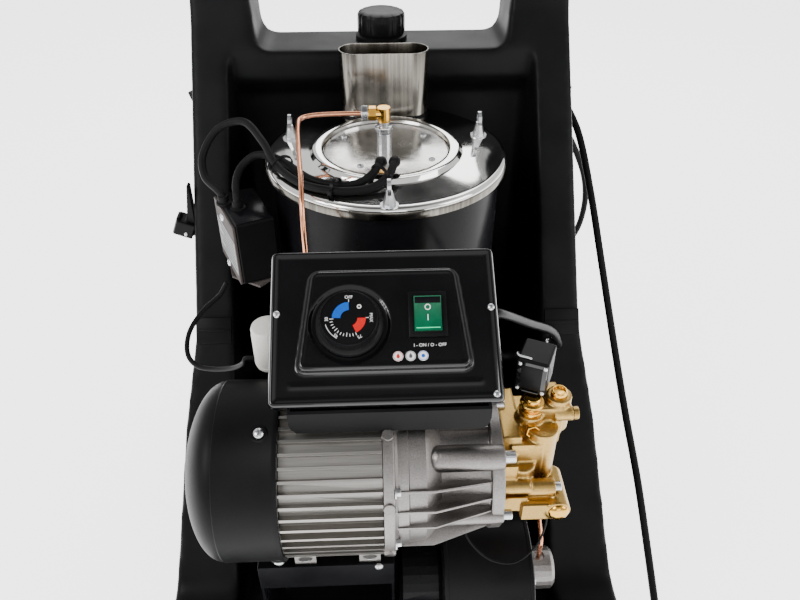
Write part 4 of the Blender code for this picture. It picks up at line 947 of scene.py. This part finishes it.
def make_burner():
    for name, route, radius, look, node in (
            ("lead_front", FRONT_LEAD, 0.0045, RUBBER, "ignition_lead_front"),
            ("lead_rear", REAR_LEAD, 0.0045, RUBBER, "ignition_lead_rear"),
            ("pipe_copper", FUEL_PIPE, 0.0026, COPPER, "fuel_pipe"),
            ("lead_supply", SUPPLY_LEAD, 0.0028, RUBBER, "transformer_lead")):
        made = wire(name, smooth_route(route, 0.003), radius, look)
        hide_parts(node)
    boot = mm((0, 1), (5, 1), (5.8, -2), (6.6, -6), (5.8, -7.5), (6.6, -9), (5.5, -20), (4, -23),
              (0, -23))
    grommet = mm((0, 10), (5.6, 10), (6.4, 8), (6.4, 3), (8.6, 2), (9, 0), (0, 0))
    for name, route in (("front", FRONT_LEAD), ("rear", REAR_LEAD)):
        start, after = Vector(route[0]), Vector(route[1])
        from_shape("boot_burner_" + name, lathe(boot, 32), RUBBER, at=facing(start, start - after))
        from_shape("grommet_" + name, lathe(grommet, 32), RUBBER, at=move(route[-1]))
    for number, (front, rear, radius) in enumerate(((5, 4, 0.0105), (7, 6, 0.012), (2, 2, 0.0118))):
        here, ahead = Vector(FRONT_LEAD[front]), Vector(FRONT_LEAD[front + 1])
        cable_tie("lead_tie_%d" % number, here.lerp(Vector(REAR_LEAD[rear]), 0.5), ahead - here, radius)
    for name in ("nozzle_elbow", "nozzle_holder"):
        soften(name, 0.0006)
    nut = prism(ngon(0.0095, 6), -0.004, 0.004)
    from_shape("pipe_nut", nut, ZINC, at=move((-0.024, 0.112, 0.63)) @ ALONG_X, bevel=0.0008)
    from_shape("stem_nut", prism(ngon(0.0108, 6), 0.608, 0.615), ZINC,
               at=move((-0.002, 0.112, 0)), bevel=0.0008)


def make_transformer():
    soften("ignition_transformer", 0.0022)
    at = move((-0.1635, 0.055, 0.5055)) @ turned(23.5, "Z")
    rim = slab(0.0212, 0.0382, 0.039, 0.0404)
    from_shape("transformer_potting", rim, ENAMEL, at=at, bevel=0.0006)
    plate = block((-0.026, -0.04, -0.038), (-0.0233, 0.04, 0.038))
    from_shape("transformer_plate", plate, PLATE, at=at, bevel=0.0006)
    label = block((-0.0265, -0.038, -0.026), (-0.0259, 0.034, 0.017))
    from_shape("transformer_rating", label, LABEL, at=at, bevel=0.0001)
    for row in range(7):
        z, reach = 0.013 - 0.0056 * row, 0.03 - 0.009 * (row % 3)
        from_shape("rating_line_%d" % row, block((-0.0267, -0.034, z - 0.0011), (-0.0264, reach, z + 0.0011)),
                   GREY, at=at, bevel=0.0001)
    for number, z in enumerate((0.029, -0.033)):
        domed_screw("transformer_screw_%d" % number, at @ Vector((-0.0262, 0.004, z)),
                    at.to_3x3() @ Vector((-1, 0, 0)), 0.005, number)
    can = mm((0, 50), (12, 49.7), (15.8, 48), (16.8, 45), (16.5, 40), (17, 39), (17, 6), (16.5, 5),
             (17, 4), (16, 0.4), (0, 0.4))
    made = from_shape("capacitor_can", lathe(can, 72), CREAM, at=move((-0.1235, -0.122, 0.4622)))
    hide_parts("capacitor")
    soften("transformer_bracket", 0.0005)


# ------------------------------------------------------------------ wheels, cap, blower, latch and wall pads
def make_rolling():
    for side, sign in (("left", -1), ("right", 1)):
        body = "wheel_" + side
        centre = move((sign * WHEEL_OUT, WHEEL_Y, WHEEL_R))
        tread = [(WHEEL_R - 0.0018 * (k % 2), -0.015 + 0.03 * k / 8) for k in range(9)]
        tyre = mm((92, -20), (115, -23.8), (120.5, -23.2), (124, -20)) + tread + [
            (0.124, 0.02), (0.1205, 0.0232), (0.115, 0.0238), (0.092, 0.02)]
        made = from_shape("tread_" + side, lathe(tyre, 96, True), TYRE, body, at=centre @ ALONG_X)
        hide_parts("tyre_" + side)
        soften("wheel_rim_" + side, 0.0012)
        outward = centre @ turned(90 * sign, "Y")
        for k in range(8):
            rib = prism(mm((24, -2.2), (76, -3), (76, 3), (24, 2.2)), 0.0035, 0.011)
            from_shape("spoke_%s_%d" % (side, k), rib, GREY, body, at=outward @ turned(45 * k, "Z"),
                       bevel=0.0008)
        cap = mm((0, 23.9), (9, 23.8), (18, 23), (21, 21.5), (21.8, 19), (10.6, 19), (10.6, 20), (0, 20))
        from_shape("hub_cap_" + side, lathe(cap, 64), SATIN, body, at=outward)


def make_cap():
    rings = mm((15, 689), (25, 688.6), (29.5, 687), (31.4, 684), (31.7, 678), (31.7, 664), (31, 661.7),
               (27.2, 661.7), (27, 681.4), (0, 681.4))
    shape = lathe([(0, 0.689)] + rings, 120)
    ripple(shape, lambda radius, z: radius > 0.0285 and z < 0.6872,
           lambda angle: -0.0011 * max(0.0, math.cos(12 * angle)) ** 3)
    made = from_shape("cap_grip", shape, SATIN, "fuel_cap", at=FILLER)
    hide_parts("filler_cap")
    neck = mm((21.2, 676), (26, 676), (26.2, 662), (30, 660.5), (34, 658.5), (34.2, 652.6),
              (21.2, 652.6))
    made = from_shape("neck_ring", lathe(neck, 96, True), MOULDED, at=FILLER)
    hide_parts("filler_neck")


def round_blower(count, start, x, radius):
    """Evenly spaced places round the blower's axis."""
    return [BLOWER + Vector((x, y, z)) for y, z in ngon(radius, count, start)]


def make_blower():
    drum = mm((20, 50), (73.5, 50), (75, 51.2), (75, 54), (73.8, 55), (73.8, 143), (75, 144),
              (75, 146.8), (73.5, 148), (35, 148), (35, 145), (71.5, 145), (71.5, 53), (20, 53))
    made = from_shape("blower_drum", lathe(drum, 96, True), SATIN, at=move(BLOWER) @ ALONG_X)
    cut_away(made, block((0.059, -0.16, 0.169), (0.101, -0.09, 0.211)))
    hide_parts("blower_housing")
    for k, where in enumerate(round_blower(6, 0.3, 0.148, 0.066)):
        domed_screw("blower_screw_%d" % k, where, RIGHT, 0.0034, k)
    for name in ("fuel_pump", "blower_motor", "air_duct", "motor_bracket"):
        soften(name, 0.0012)
    for k, where in enumerate(round_blower(3, 0.5, 0.153, 0.031)):
        hex_bolt("pump_flange_bolt_%d" % k, where, RIGHT, 0.006, 0.0045)


def make_latch():
    """Rubber latch block turned on its pin, with the strap that pulls the hood down."""
    turn = move((-0.2625, 0.152, 0.464)) @ turned(22, "Y")
    shapes = [placed(block((-0.012, -0.013, -0.0105), (0.0125, 0.013, 0.0105)), turn),
              placed(block((-0.0135, -0.009, -0.012), (-0.009, 0.009, 0.012)), turn),
              bar((-0.262, 0.152, 0.46), (-0.2478, 0.152, 0.456), 0.008)]
    strap = prism(mm((-259, 470), (-247.8, 466), (-247.8, 523), (-251, 524)), -0.158, -0.146)
    made = fuse("latch_block", shapes + [placed(strap, ON_EDGE)], 0.0011, 3, SATIN)
    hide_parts("hood_latch")
    domed_screw("latch_pin", turn @ Vector((0.004, -0.0128, -0.005)), FRONT, 0.003, 0.6)


def edge_y(height):
    """Front edge of the sloping chassis walls at a height."""
    return WALL_FOOT_Y + WALL_SLOPE * (height - WALL_FOOT_Z)


def make_wall_pads():
    """Raised pads across the sloping front edges of both walls, and the loom clipped to the right one."""
    slope = Vector((0, -1, WALL_SLOPE)).normalized()
    along = Vector((0, WALL_SLOPE, 1)).normalized()
    turn = Matrix((RIGHT, along, slope)).transposed().to_4x4()
    for side, sign in (("left", -1), ("right", 1)):
        at = move((sign * 0.2225, edge_y(0.372), 0.372)) @ turn
        pad = slab(0.0225, 0.017, -0.002, 0.0028)
        from_shape("wall_pad_" + side, pad, MOULDED, at=at, bevel=0.0018)
        from_shape("pad_rib_" + side, slab(0.02, 0.002, 0.002, 0.004), MOULDED, at=at, bevel=0.0008)
    end = Vector((0.212, edge_y(0.35), 0.35)) + slope * 0.0003
    start, before = Vector((0.0843, -0.118, 0.515)), end + slope * 0.022
    route = [start, start + Vector((0.02, 0, 0)), start.lerp(before, 0.45) + Vector((0.01, 0, 0.008)),
             start.lerp(before, 0.8) + Vector((0.006, 0, 0.012)), before, end]
    loom = wire("loom", smooth_route(route, 0.003), 0.005, SATIN)
    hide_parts("panel_strap")
    cuff = mm((0, 11), (5.6, 11), (6.6, 10), (6.6, 6), (8, 5), (8.6, 1), (8, 0), (0, 0))
    from_shape("loom_cuff", lathe(cuff, 40), MOULDED, at=facing(end, slope))
    domed_screw("loom_screw", Vector((0.2035, edge_y(0.353), 0.353)) + slope * 0.0005, slope, 0.0032, 0.5)


for make in (make_studio, dress_nodes, make_cord, make_chassis, make_panel, make_knob, make_switch,
             make_motor, make_crankcase, make_pump_head, make_boiler, make_burner, make_transformer,
             make_rolling, make_cap, make_blower, make_wall_pads, make_latch):
    make()
for name in ("control_box", "foot_left", "foot_right"):
    soften(name, 0.0016)
